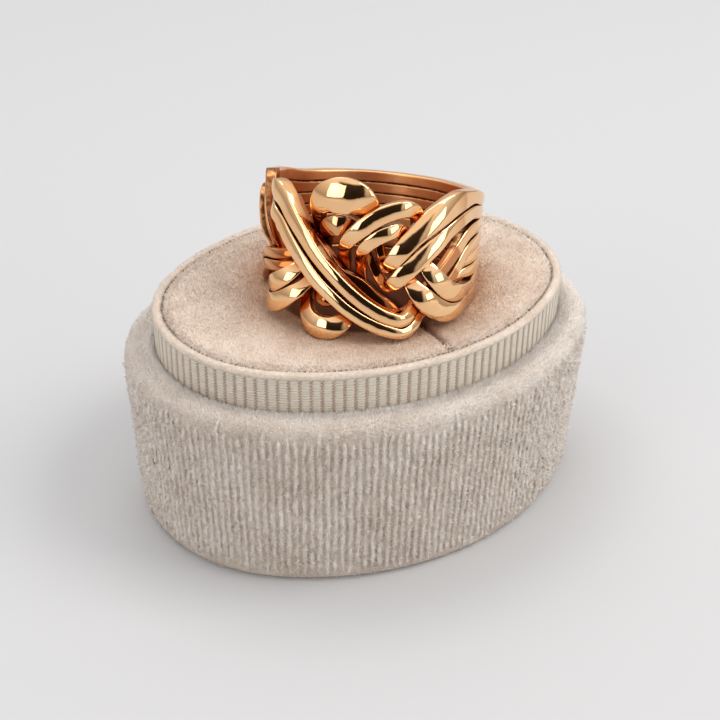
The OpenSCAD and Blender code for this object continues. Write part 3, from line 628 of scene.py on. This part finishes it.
# The ribs' velvet and their pile are paler than the base's velvet between them: painted light on the ridges
# and painted shade in the valleys of the one cloth
BASE_RIB = velvet("base_rib_velvet", (0.50, 0.41, 0.34), (0.76, 0.68, 0.61), (0.96, 0.92, 0.88), 190, 2200)
PAD_VELVET = padded_velvet("pad_velvet", (0.58, 0.44, 0.34), (0.80, 0.66, 0.55), (0.90, 0.79, 0.69))
PILE = velvet("pile_fibres", (0.52, 0.42, 0.35), (0.78, 0.68, 0.60), (0.97, 0.91, 0.86), 300, 1300, 0.3)
RIB_PILE = velvet("rib_pile_fibres", (0.50, 0.41, 0.34), (0.92, 0.85, 0.78), (1, 0.99, 0.96), 900, 1900, 0.35)
RIM_PILE = velvet("rim_pile_fibres", (0.70, 0.61, 0.54), (0.94, 0.87, 0.81), (1, 0.99, 0.97), 300, 1500, 0.35)
PAD_PILE = padded_velvet(
    "pad_pile_fibres", (0.70, 0.56, 0.46), (0.86, 0.73, 0.63), (1, 0.92, 0.84), 260, 1300, 0.3
)
RIBBON = ribbon_cloth("ribbon", (0.46, 0.40, 0.33), (0.76, 0.70, 0.61))
RIBBON_EDGE = velvet("ribbon_edge", (0.56, 0.45, 0.36), (0.74, 0.63, 0.53), (0.88, 0.79, 0.70), 320, 3000)
RIBBON_LINES = ribbon_cloth("ribbon_lines", (0.24, 0.16, 0.11), (0.50, 0.39, 0.31), 0.9)
SEAM_SHADE = ribbon_cloth("seam_thread", (0.10, 0.06, 0.04), (0.24, 0.16, 0.11), 0.95)


# Geometry Nodes trees

def geometry_tree(name, **sizes):
    """An empty tree with a Geometry socket at each end, and an input for each size, of the kind given."""
    tree = bpy.data.node_groups.new(name, "GeometryNodeTree")
    tree.interface.new_socket("Geometry", in_out="INPUT", socket_type="NodeSocketGeometry")
    tree.interface.new_socket("Geometry", in_out="OUTPUT", socket_type="NodeSocketGeometry")
    for label, kind in sizes.items():
        tree.interface.new_socket(label.replace("_", " "), in_out="INPUT", socket_type="NodeSocket" + kind)
    return tree, tree.nodes, tree.nodes.new("NodeGroupInput"), tree.nodes.new("NodeGroupOutput")


def join(tree, *pairs):
    """Links of (node, its output, node, its input)."""
    for giver, outlet, taker, inlet in pairs:
        tree.links.new(giver.outputs[outlet], taker.inputs[inlet])


def random_size(nodes):
    size = nodes.new("FunctionNodeRandomValue")
    size.data_type = "FLOAT"
    return size


def placed_copies(tree, nodes, into, out):
    """The end of both trees: the shape on its points, as plain mesh in its material."""
    shape = nodes.new("GeometryNodeObjectInfo")
    place = nodes.new("GeometryNodeInstanceOnPoints")
    realize = nodes.new("GeometryNodeRealizeInstances")
    paint = nodes.new("GeometryNodeSetMaterial")
    join(
        tree,
        (into, "Shape", shape, "Object"),
        (shape, "Geometry", place, "Instance"),
        (place, "Instances", realize, "Geometry"),
        (realize, "Geometry", paint, "Geometry"),
        (into, "Material", paint, "Material"),
        (paint, "Geometry", out, "Geometry"),
    )
    return place


def copies_around_line():
    """Copies of a shape along a closed line, evenly spaced, each turned so that its X runs along the line."""
    tree, nodes, into, out = geometry_tree(
        "copies_around_line",
        Count="Int",
        Shape="Object",
        Size_Variation="Float",
        Seed="Int",
        Material="Material",
    )
    place = placed_copies(tree, nodes, into, out)
    curve = nodes.new("GeometryNodeMeshToCurve")
    resample = nodes.new("GeometryNodeResampleCurve")
    resample.mode = "COUNT"
    points = nodes.new("GeometryNodeCurveToPoints")
    points.mode = "EVALUATED"
    turn = nodes.new("FunctionNodeAlignEulerToVector")
    turn.axis = "X"
    turn.pivot_axis = "Z"
    smallest = nodes.new("ShaderNodeMath")
    smallest.operation = "SUBTRACT"
    smallest.inputs[0].default_value = 1
    size = random_size(nodes)
    join(
        tree,
        (into, "Geometry", curve, "Mesh"),
        (curve, "Curve", resample, "Curve"),
        (into, "Count", resample, "Count"),
        (resample, "Curve", points, "Curve"),
        (points, "Points", place, "Points"),
        (points, "Tangent", turn, "Vector"),
        (turn, "Rotation", place, "Rotation"),
        (into, "Size Variation", smallest, 1),
        (smallest, "Value", size, 2),
        (into, "Seed", size, "Seed"),
        (size, 1, place, "Scale"),
    )
    return tree


def pile_on_surface():
    """Fibres scattered over a surface, standing off it with a random lean and size."""
    tree, nodes, into, out = geometry_tree(
        "pile_on_surface",
        Fibres_per_m2="Float",
        Shape="Object",
        Lean="Float",
        Shortest="Float",
        Longest="Float",
        Seed="Int",
        Material="Material",
    )
    place = placed_copies(tree, nodes, into, out)
    scatter = nodes.new("GeometryNodeDistributePointsOnFaces")
    lean = nodes.new("FunctionNodeRandomValue")
    lean.data_type = "FLOAT_VECTOR"
    other_way = nodes.new("ShaderNodeMath")
    other_way.operation = "MULTIPLY"
    other_way.inputs[1].default_value = -1
    tip = nodes.new("FunctionNodeRotateRotation")
    tip.rotation_space = "LOCAL"
    as_turn = nodes.new("FunctionNodeEulerToRotation")
    size = random_size(nodes)
    join(
        tree,
        (into, "Geometry", scatter, "Mesh"),
        (into, "Fibres per m2", scatter, "Density"),
        (into, "Seed", scatter, "Seed"),
        (scatter, "Points", place, "Points"),
        (into, "Lean", other_way, 0),
        (other_way, "Value", lean, 0),
        (into, "Lean", lean, 1),
        (into, "Seed", lean, "Seed"),
        (lean, 0, as_turn, "Euler"),
        (scatter, "Rotation", tip, "Rotation"),
        (as_turn, "Rotation", tip, "Rotate By"),
        (tip, "Rotation", place, "Rotation"),
        (into, "Shortest", size, 2),
        (into, "Longest", size, 3),
        (into, "Seed", size, "Seed"),
        (size, 1, place, "Scale"),
    )
    return tree


COPIES = copies_around_line()
PILE_TREE = pile_on_surface()


def grown(name, carrier, tree, **values):
    """A plain mesh piece from a tree on a carrier object. Values are named as the tree's inputs."""
    modifier = carrier.modifiers.new(name, "NODES")
    modifier.node_group = tree
    for item in tree.interface.items_tree:
        key = item.name.replace(" ", "_").lower()
        if item.item_type == "SOCKET" and item.in_out == "INPUT" and key in values:
            modifier[item.identifier] = values[key]
    bpy.context.view_layer.update()
    mesh = bpy.data.meshes.new_from_object(carrier.evaluated_get(bpy.context.evaluated_depsgraph_get()))
    mesh.name = name
    carrier.modifiers.remove(modifier)
    made = bpy.data.objects.new(name, mesh)
    bpy.context.scene.collection.objects.link(made)
    return made


def copies(name, line, count, shape, material, seed, variation=0.0):
    """Copies of a shape around a closed line, as one piece."""
    return grown(
        name, line, COPIES, count=count, shape=shape, size_variation=variation, seed=seed, material=material
    )


def pile(name, carrier, per_m2, shape, lean, shortest, longest, seed, material):
    """Fibres on a carrier, as one piece. Shortest and longest are shares of the shape's length."""
    sizes = dict(fibres_per_m2=per_m2, shape=shape, lean=lean, shortest=shortest, longest=longest)
    return grown(name, carrier, PILE_TREE, seed=seed, material=material, **sizes)


def drop(*things):
    """Removes shapes and carriers that were only used to build others."""
    for thing in things:
        bpy.data.objects.remove(thing, do_unlink=True)


def closed_line(name, inset, height, count=720):
    """A closed line of edges around the oval."""
    line, _, _ = oval_line(inset, count)
    mesh = bpy.data.meshes.new(name)
    points = [(x * MM, y * MM, height * MM) for x, y in line]
    mesh.from_pydata(points, [(i, (i + 1) % count) for i in range(count)], [])
    thing = bpy.data.objects.new(name, mesh)
    bpy.context.scene.collection.objects.link(thing)
    return thing


def finish_piece(thing, material, node=None):
    """Gives a piece its material and its body and, where it stands for a part of the frame, hides that part.
    """
    if material:
        thing.data.materials.clear()
        thing.data.materials.append(material)
    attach(thing, "root")
    if node:
        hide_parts(node)
    return thing


# Base

SHELL_AROUND = 420
STRIP_AROUND = 240
FLOOR_T = 2.0
FLOOR_INSETS = (6, 8, 10, 12, 14, 16)
WALL_T = 3.2


def wall_inset(height):
    """How far the base's wall lies inside its outline at a height, up over the rim's rounding."""
    over = min(max(0.0, height - WALL_TOP), RIM_R)
    return DRAFT * max(0.0, 1 - height / WALL_TOP) + RIM_R - math.sqrt(RIM_R**2 - over**2)


def base_shell():
    """The base's cup: under its floor, up the wall, over the rim and down inside."""
    profile = [(inset, 0.0) for inset in reversed(FLOOR_INSETS)]
    profile += [(wall_inset(0) + 0.9, 0.0), (wall_inset(0) + 0.5, 0.06), (wall_inset(0.4) + 0.12, 0.3)]
    profile += [(wall_inset(z), z) for z in np.linspace(0.8, WALL_TOP, 26)]
    profile += arc((RIM_R, WALL_TOP), RIM_R, 6, 90, 12)
    profile += [(2.0, RIM_H), (2.5, RIM_H - 0.02), (2.9, RIM_H - 0.14), (3.12, RIM_H - 0.4)]
    profile += [(WALL_T, z) for z in (RIM_H - 0.9, 18, 14, 8, FLOOR_T)]
    profile += [(inset, FLOOR_T) for inset in FLOOR_INSETS]
    points = around_oval(profile, SHELL_AROUND)
    faces = grid_faces(len(profile), SHELL_AROUND)
    under, last = len(points), len(points) - SHELL_AROUND
    pairs = [(j, (j + 1) % SHELL_AROUND) for j in range(SHELL_AROUND)]
    faces += [(under, k, j) for j, k in pairs]
    faces += [(under + 1, last + j, last + k) for j, k in pairs]
    points = np.concatenate([points, [[0, 0, 0], [0, 0, FLOOR_T]]])
    return mesh_object("box_base_velvet", points, faces)


RIB_PITCH, RIB_WIDTH, RIB_HEIGHT = 0.82, 0.5, 0.17
RIB_LOW, RIB_HIGH, RIB_FADE = 0.9, 19.7, 1.5
RIB_ROWS, RIB_AROUND = 44, 6
RIB_FOOT = 0.06


def rib_shape(name):
    """One upright rib of the base's cloth that stands outwards, along -Y, and fades at both ends."""
    points = []
    for i in range(RIB_ROWS):
        z = RIB_LOW + (RIB_HIGH - RIB_LOW) * i / (RIB_ROWS - 1)
        near_end = min(z - RIB_LOW, RIB_HIGH - z)
        share = math.sin(min(near_end / RIB_FADE, 1) * math.pi / 2) if near_end > 0 else 0.02
        for j in range(RIB_AROUND + 1):
            a = math.pi * j / RIB_AROUND
            x = -RIB_WIDTH / 2 * math.cos(a) * (0.55 + 0.45 * share)
            y = wall_inset(z) + RIB_FOOT - (RIB_HEIGHT * share + RIB_FOOT) * math.sin(a)
            points.append((x, y, z))
    return mesh_object(name, points, grid_faces(RIB_ROWS, RIB_AROUND + 1, wrap_columns=False))


def fibre_shape(name, length, width):
    """One fibre: a slender three-sided spike that leans a little."""
    thirds = [2 * math.pi * j / 3 for j in range(3)]
    points = [(width / 2 * math.cos(a), width / 2 * math.sin(a), 0) for a in thirds]
    points.append((0.3 * length, 0, length))
    return mesh_object(name, points, [(0, 1, 3), (1, 2, 3), (2, 0, 3)])


def strip(name, profile):
    """A surface around the oval for fibres to grow on."""
    return mesh_object(name, around_oval(profile, STRIP_AROUND), grid_faces(len(profile), STRIP_AROUND))


def points_of(mesh):
    """A mesh's points as it holds them, in metres."""
    flat = np.empty(len(mesh.vertices) * 3, np.float32)
    mesh.vertices.foreach_get("co", flat)
    return flat.reshape(-1, 3)


SHORTER, LONGER, RIB_SEED = -0.045, 0.01, 7
PILE_WAVE, SWAY = 0.2, 0.13


def roughen(ribs):
    """Lets each rib end at its own height and sway, and gives its pile flecks."""
    points = points_of(ribs.data) / MM
    per_rib = RIB_ROWS * (RIB_AROUND + 1)
    stretch = 1 + np.random.default_rng(RIB_SEED).uniform(SHORTER, LONGER, len(points) // per_rib)
    points[:, 2] *= np.repeat(stretch, per_rib)
    for i, (x, y, z) in enumerate(points):
        out = PILE_WAVE * noise.noise(Vector((x * 1.9, y * 1.9, z * 1.3)))
        out += 1.5 * PILE_WAVE * noise.noise(Vector((x * 2.5, y * 2.5, z * 5.3)))
        along = SWAY * noise.noise(Vector((x * 0.7 + 9, y * 0.7, z * 0.45)))
        reach = math.hypot(x, y)
        points[i, 0] += (x * out - y * along) / reach
        points[i, 1] += (y * out + x * along) / reach
    ribs.data.vertices.foreach_set("co", (points * MM).ravel().astype(np.float32))
    ribs.data.update()


shell = base_shell()
_, _, outline_length = oval_line(0, 8)
rib = rib_shape("rib")
line = closed_line("outline", 0, 0)
ribs = copies("box_base_ribs", line, round(outline_length / RIB_PITCH), rib, BASE_RIB, 3)
drop(rib, line)
roughen(ribs)
wall_fibre = fibre_shape("wall_fibre", 0.36, 0.11)
rib_fibre = fibre_shape("rib_fibre", 0.4, 0.14)
rim_fibre = fibre_shape("rim_fibre", 0.62, 0.1)
wall_strip = strip("wall_strip", [(wall_inset(z) - 0.03, z) for z in (0.3, 4, 8, 12, 16, 18.4, 19.0)])
rim_line = arc((RIM_R, WALL_TOP), RIM_R - 0.04, 14, 90, 8) + [(2.4, RIM_H - 0.04), (3.0, RIM_H - 0.15)]
rim_strip = strip("rim_strip", rim_line)
base_pile = pile("box_base_pile", wall_strip, 1.1e7, wall_fibre, 0.9, 0.5, 1.1, 11, PILE)
rib_pile = pile("box_rib_pile", ribs, 1.7e7, rib_fibre, 0.95, 0.45, 1.15, 13, RIB_PILE)
rim_pile = pile("box_rim_pile", rim_strip, 7.0e7, rim_fibre, 0.75, 0.5, 1.0, 15, RIM_PILE)
drop(wall_strip, rim_strip, wall_fibre, rib_fibre, rim_fibre)
finish_piece(rib_pile, None)
finish_piece(rim_pile, None)
finish_piece(shell, BASE_VELVET, "box_base")
finish_piece(ribs, None)
finish_piece(base_pile, None)


# Collar

RIBBON_INSET, RIBBON_PITCH, STRIPE_WIDTH = 3.32, 1.13, 0.8
EDGE_LOW = 24.05
SEAM_INSET = 4.3
STITCH_PITCH = 0.62
DASH_STEP, DASH_HALF, DASH_SHIFT = 0.19, 0.12, 0.05


def collar_shell():
    """The collar's cup: up the ribbon, over its roll and down inside."""
    profile = [(RIBBON_INSET, 2.2), (RIBBON_INSET, 18.5), (RIBBON_INSET, EDGE_LOW - 0.06)]
    profile += [(3.28, EDGE_LOW), (3.2, EDGE_LOW + 0.08)]
    profile += arc((3.68, COLLAR_TOP - 0.52), 0.5, 4, 150, 12)
    profile += [(4.22, COLLAR_TOP - 0.5), (SEAM_INSET, COLLAR_TOP - 0.9), (4.5, COLLAR_TOP - 1.4)]
    profile += [(4.78, COLLAR_TOP - 2), (4.78, 20), (4.78, 3.2), (4.7, 2.2)]
    faces = grid_faces(len(profile), SHELL_AROUND, wrap_rows=True)
    return mesh_object("box_collar_ribbon", around_oval(profile, SHELL_AROUND), faces)


def flat_rib(name, width, height, low, high):
    """One flat raised stripe of the ribbon, standing outwards along -Y."""
    half, slope, top = width / 2, 0.05, height + 0.02
    cut = [(-half, 0), (-half + slope, height), (-width / 6, top)]
    cut += [(width / 6, top), (half - slope, height), (half, 0)]
    points = [(x, -y, z) for z in np.linspace(low, high, 7) for x, y in cut]
    return mesh_object(name, points, grid_faces(7, len(cut), wrap_columns=False))


def dash_column(name, middle, low, high, inset):
    """One column of short slanted dashes in the ribbon's groove, in a zigzag."""
    points, faces = [], []
    for i in range(int((high - low) / DASH_STEP)):
        z = low + DASH_STEP * (i + 0.5)
        way = 1 if i % 2 else -1
        k = len(points)
        corners = ((-DASH_HALF, -0.06), (DASH_HALF, -0.02), (DASH_HALF, 0.06), (-DASH_HALF, 0.02))
        for dx, dz in corners:
            tilt = 0.06 * way * (1 if dx > 0 else -1)
            points.append((middle + DASH_SHIFT * way + dx, inset, z + dz + tilt))
        points.append((middle + DASH_SHIFT * way, inset - 0.04, z - 0.06 * way))
        faces += [(k + j, k + (j + 1) % 4, k + 4) for j in range(4)]
    return mesh_object(name, points, faces, smooth=False)


def stitch_shape(name, long, wide, high):
    """One sewn stitch along X: a low rounded bar with pointed ends."""
    points = [(-long / 2, 0, 0)]
    for x in (-0.3 * long, 0.3 * long):
        for a in (-90, -30, 30, 90, 180):
            a = math.radians(a)
            points.append((x, wide / 2 * math.sin(a), high * max(math.cos(a), -0.3)))
    points.append((long / 2, 0, 0))
    faces = [f[::-1] for f in grid_faces(2, 5, first=1)]
    faces += [(0, 1 + j, 1 + (j + 1) % 5) for j in range(5)]
    faces += [(11, 6 + (j + 1) % 5, 6 + j) for j in range(5)]
    return mesh_object(name, points, faces)


ribbon = collar_shell()
_, _, collar_length = oval_line(3.3, 8)
stripes = round(collar_length / RIBBON_PITCH)
stripe = flat_rib("stripe", STRIPE_WIDTH, 0.07, 18.6, EDGE_LOW + 0.02)
line = closed_line("collar_line", RIBBON_INSET, 0)
collar_ribs = copies("box_collar_stripes", line, stripes, stripe, RIBBON, 5)
dashes = dash_column("dashes", RIBBON_PITCH / 2, 19.0, EDGE_LOW - 0.1, -0.035)
collar_lines = copies("box_collar_lines", line, stripes, dashes, RIBBON_LINES, 5)
seam = closed_line("seam_line", SEAM_INSET - 0.06, COLLAR_TOP - 0.3)
stitch = stitch_shape("stitch", 0.5, 0.34, 0.22)
seam_stitches = copies(
    "box_seam_stitches", seam, round(collar_length / STITCH_PITCH), stitch, SEAM_SHADE, 9, variation=0.35
)
wisp = fibre_shape("wisp", 0.55, 0.08)
roll_line = [(3.24, EDGE_LOW + 0.2), (3.35, COLLAR_TOP - 0.2), (3.7, COLLAR_TOP - 0.04)]
roll_line += [(4.05, COLLAR_TOP - 0.2), (SEAM_INSET, COLLAR_TOP - 0.45)]
seam_band = strip("seam_band", roll_line)
seam_wisps = pile("box_seam_wisps", seam_band, 8.0e7, wisp, 1.15, 0.3, 0.8, 21, PAD_PILE)
foot = strip("foot_band", [(2.5, RIM_H - 0.05), (3.1, RIM_H - 0.3)])
rim_wisps = pile("box_rim_wisps", foot, 1.2e8, wisp, 0.8, 0.6, 1.5, 23, RIM_PILE)
drop(stripe, dashes, line, seam, stitch, wisp, seam_band, foot)
finish_piece(seam_stitches, None)
finish_piece(seam_wisps, None)
finish_piece(rim_wisps, None)
finish_piece(ribbon, RIBBON_EDGE, "box_collar")
finish_piece(collar_ribs, None)
finish_piece(collar_lines, None)


# Ring

bands = []
for n in range(1, 9):
    band = band_mesh(f"ring_band_{n}", n)
    bands.append(band)
    finish_piece(band, GOLD, f"band_{n}")


# Pad

PAD_STEPS = 190
DOME = 0.25
SHOULDER, SHOULDER_DROP = 1.5, 0.38
# The radius of the ring's finger hole, and how far the pad's painted shadow and gold reflection reach from
# the ring's axis
HOLLOW_R, RING_SHADE_R = 11.4, 18.5
CELL = 0.45
# How the ring presses the pad: the gap above the velvet, the deepest dip and how far the dip spreads
PRESS_GAP, DEEPEST_DIP, DIP_ROUNDS = 0.12, 4, 10
# The slit across the pad: (depth, half width, sharpness) of the cut and of its rounded mouth
SLIT = ((2.6, 0.19, 1.4), (0.35, 0.5, 2))
# The pad's own waves: (height, waves per mm, layer of the noise)
PAD_WAVES = ((0.10, 0.35, 2), (0.035, 1.6, 5))
# How far the skirt hangs below the pad's edge, ring by ring, and how it tapers
SKIRT_DROPS, SKIRT_TAPER, TAPER_TO = (0.5, 1.2, 3, 12, 20.2), 0.035, 2.4


def oval_reach(inset):
    """The oval's radius from its middle against the angle, as a function."""
    line, _, _ = oval_line(inset, 3600)
    angle = np.arctan2(line[:, 1], line[:, 0])
    order = np.argsort(angle)
    angle, reach = angle[order], np.hypot(line[order, 0], line[order, 1])
    return lambda a: np.interp(a, angle, reach, period=2 * math.pi)


def ring_floor(points):
    """The lowest metal over each point of the pad, or a high number where there is none."""
    metal = np.concatenate([np.array([v.co for v in band.data.vertices]) for band in bands]) / MM
    metal = metal[metal[:, 2] < PAD_TOP + 2.2]
    low = {}
    for x, y, z in metal:
        for dx in (-1, 0, 1):
            for dy in (-1, 0, 1):
                key = (int(x // CELL) + dx, int(y // CELL) + dy)
                low[key] = min(low.get(key, 99.0), z + PRESS_GAP * (dx * dx + dy * dy))
    return np.array([low.get((int(x // CELL), int(y // CELL)), 99.0) for x, y in points])


def ring_shade_at(from_axis):
    """How much painted shadow and painted reflection of the gold the pad gets at a distance from the ring's
    axis.
    """
    return np.clip((RING_SHADE_R - from_axis) / (RING_SHADE_R - HOLLOW_R), 0, 1) ** 2


def trim_pile(thing):
    """Takes away the fibres that grew under the pad's shoulder or under the ring."""
    fibres = points_of(thing.data).reshape(-1, 4, 3).astype(float) / MM
    roots = fibres[:, :3].mean(axis=1)
    from_axis = from_ring_axis(roots)
    kept = (roots[:, 2] > PAD_TOP - SHOULDER) & (from_axis > HOLLOW_R - 0.3)
    points = fibres[kept].reshape(-1, 3)
    # The fibres carry the pad's painted shadow and gold reflection too
    glow = np.repeat(ring_shade_at(from_axis[kept]), 4)
    one = [tuple(face.vertices) for face in list(thing.data.polygons)[:3]]
    faces = [tuple(k + first for k in face) for first in range(0, len(points), 4) for face in one]
    trimmed = mesh_object(thing.name + "_kept", points, faces, floats={"glow": glow})
    thing.data = trimmed.data
    drop(trimmed)


def pad_top():
    """The pad's upper surface as grids of x, y and z: domed, dipped under the ring, slit and uneven."""
    reach = oval_reach(SEAM_INSET + 0.03)
    line = np.linspace(-1, 1, PAD_STEPS + 1)
    u = np.sign(line) * np.abs(line) ** 1.35
    uu, vv = np.meshgrid(u, line)
    x, y = uu * np.sqrt(1 - vv**2 / 2), vv * np.sqrt(1 - uu**2 / 2)
    rho, angle = np.hypot(x, y), np.arctan2(y, x)
    far = reach(angle)
    x, y = rho * far * np.cos(angle), rho * far * np.sin(angle)
    z = np.full(x.shape, PAD_TOP) + DOME * (1 - rho**2)
    inside = np.clip(SHOULDER - (1 - rho) * far, 0, SHOULDER)
    z -= SHOULDER_DROP * (1 - np.sqrt(1 - (inside / SHOULDER) ** 2 * 0.999))
    floor = ring_floor(np.column_stack([x.ravel(), y.ravel()])).reshape(x.shape)
    press = np.clip(z - (floor - PRESS_GAP), 0, DEEPEST_DIP)
    soft = press.copy()
    for _ in range(DIP_ROUNDS):
        soft[1:-1, 1:-1] = 0.25 * (soft[:-2, 1:-1] + soft[2:, 1:-1] + soft[1:-1, :-2] + soft[1:-1, 2:])
        soft = np.maximum(soft, press)
    z -= soft
    z -= sum(depth * np.exp(-((np.abs(x) / half) ** sharp)) for depth, half, sharp in SLIT)
    for i, j in np.ndindex(z.shape):
        for high, often, layer in PAD_WAVES:
            z[i, j] += high * noise.noise(Vector((x[i, j] * often, y[i, j] * often, layer)))
    return x, y, z


def pad_mesh():
    """The pad: its upper surface, and a skirt down into the collar that closes underneath."""
    points = np.column_stack([grid.ravel() for grid in pad_top()])
    size = PAD_STEPS + 1
    faces = grid_faces(size, size, wrap_columns=False)
    rim = list(range(size)) + [i * size + size - 1 for i in range(1, size)]
    rim += [(size - 1) * size + j for j in range(size - 2, -1, -1)]
    rim += [i * size for i in range(size - 2, 0, -1)]
    edge = points[rim]
    count = len(rim)
    rows = [rim]
    for down in SKIRT_DROPS:
        ring = edge.copy()
        ring[:, :2] *= 1 - min(down, TAPER_TO) / TAPER_TO * SKIRT_TAPER
        ring[:, 2] = np.minimum(edge[:, 2] - 0.02, PAD_TOP - 1.1 - down)
        rows.append([len(points) + j for j in range(count)])
        points = np.concatenate([points, ring])
    points = np.concatenate([points, [[0, 0, points[:, 2].min()]]])
    for upper, lower in zip(rows, rows[1:]):
        faces += [(upper[(j + 1) % count], upper[j], lower[j], lower[(j + 1) % count]) for j in range(count)]
    faces += [(rows[-1][(j + 1) % count], rows[-1][j], len(points) - 1) for j in range(count)]
    from_axis = from_ring_axis(points)
    # Masks for the velvet's painted shade inside the ring, and its painted shadow and gold reflection around
    # the ring
    shades = {"hollow": np.clip(HOLLOW_R - from_axis, 0, 1), "glow": ring_shade_at(from_axis)}
    return mesh_object("box_pad_velvet", points, faces, floats=shades)


pad = pad_mesh()
fibre = fibre_shape("pad_fibre", 0.4, 0.12)
pad_pile = pile("box_pad_pile", pad, 4.2e7, fibre, 0.8, 0.4, 1.0, 31, PAD_PILE)
edge_fibre = fibre_shape("edge_fibre", 0.62, 0.13)
edge_line = [(0.1, 0.34), (0.45, 0.14), (0.9, 0.03)]
edge_band = strip("edge_band", [(SEAM_INSET + inward, PAD_TOP - down) for inward, down in edge_line])
pad_fringe = pile("box_pad_fringe", edge_band, 3.2e7, edge_fibre, 0.9, 0.5, 1.15, 33, PAD_PILE)
drop(fibre, edge_fibre, edge_band)
finish_piece(pad_fringe, None)
trim_pile(pad_pile)
finish_piece(pad_pile, PAD_PILE)
finish_piece(pad, PAD_VELVET, "pad")


# Floor and light

FLOOR_HALF = 3.0
FLOOR_SHADE = (0.53, 0.53, 0.54, 1)
# [name, place, what it lights, size, power, colour], in metres and watts
LIGHTS = [
    ["key", (0.35, -0.25, 0.55), (0, 0, 0.02), (0.35, 0.35), 2.1, (1, 0.98, 0.95)],
    ["fill", (-0.5, -0.16, 0.2), (0, 0, 0.01), (0.3, 0.3), 0.62, (1, 0.97, 0.94)],
    ["front", (0.26, -0.5, 0.15), (0, 0, 0.01), (0.3, 0.2), 0.42, (1, 0.98, 0.96)],
    ["top", (0.0, 0.25, 0.6), (0, 0, 0.02), (0.5, 0.3), 1.15, WHITE],
]
ROOM_STRENGTH = 1.02
# The dark patch of the room around the camera, on a unit sphere: half width, middle height and half height
PATCH_HALF_WIDTH, PATCH_AT, PATCH_HALF_HEIGHT = 0.56, 0.29, 0.36


def stage_floor():
    mesh = bpy.data.meshes.new("floor")
    corners = [(x * FLOOR_HALF, y * FLOOR_HALF, 0) for x, y in ((-1, -1), (1, -1), (1, 1), (-1, 1))]
    mesh.from_pydata(corners, [], [(0, 1, 2, 3)])
    floor = bpy.data.objects.new("floor", mesh)
    bpy.context.scene.collection.objects.link(floor)
    material, _, _, shader = new_material("paper_floor")
    shader.inputs["Base Color"].default_value = FLOOR_SHADE
    shader.inputs["Roughness"].default_value = 0.8
    shader.inputs["Specular IOR Level"].default_value = 0.2
    mesh.materials.append(material)


def soft_box(name, place, target, size, power, colour):
    data = bpy.data.lights.new(name, "AREA")
    data.shape = "RECTANGLE"
    data.size, data.size_y = size
    data.energy = power
    data.color = colour
    light = bpy.data.objects.new(name, data)
    bpy.context.scene.collection.objects.link(light)
    light.location = Vector(place)
    light.rotation_euler = (Vector(target) - Vector(place)).to_track_quat("-Z", "Y").to_euler()


def room_light():
    """A pale room, dimmer near the floor, with a dark patch around the camera that polished metal shows."""
    world = bpy.data.worlds.new("room")
    bpy.context.scene.world = world
    world.use_nodes = True
    nodes, links = world.node_tree.nodes, world.node_tree.links
    background = next(n for n in nodes if n.type == "BACKGROUND")
    way = nodes.new("ShaderNodeTexCoord").outputs["Generated"]

    def share_along(direction):
        node = nodes.new("ShaderNodeVectorMath")
        node.operation = "DOT_PRODUCT"
        node.inputs[1].default_value = direction
        links.new(way, node.inputs[0])
        return node.outputs["Value"]

    def worked(operation, first, second=0.0):
        return number(nodes, links, operation, first, second)

    front = Vector((-LOOK.x, -LOOK.y, 0)).normalized()
    rise = share_along((0, 0, 1))
    from_middle = worked("ABSOLUTE", share_along(front.cross(Vector((0, 0, 1)))))
    across = worked("DIVIDE", from_middle, PATCH_HALF_WIDTH)
    up = worked("DIVIDE", worked("ABSOLUTE", worked("SUBTRACT", rise, PATCH_AT)), PATCH_HALF_HEIGHT)
    behind = worked("LESS_THAN", share_along(front), 0.0)
    away = worked("ADD", worked("MAXIMUM", across, up), behind)
    patch_stops = [(0.0, (0.03, 0.022, 0.02)), (0.78, (0.05, 0.04, 0.035)), (0.98, (1.0, 1.0, 1.0))]
    wall_stops = [(0.0, (0.40, 0.38, 0.36)), (0.3, (0.66, 0.65, 0.64))]
    wall_stops += [(0.62, (1.0, 0.99, 0.97)), (1.0, (0.9, 0.9, 0.9))]
    patch, walls = ramp(nodes, links, away, patch_stops), ramp(nodes, links, rise, wall_stops)
    links.new(mixed(nodes, links, 1.0, patch, walls, "MULTIPLY"), background.inputs["Color"])
    background.inputs["Strength"].default_value = ROOM_STRENGTH


stage_floor()
room_light()
for light in LIGHTS:
    soft_box(*light)
bpy.context.scene.view_settings.view_transform = "Standard"
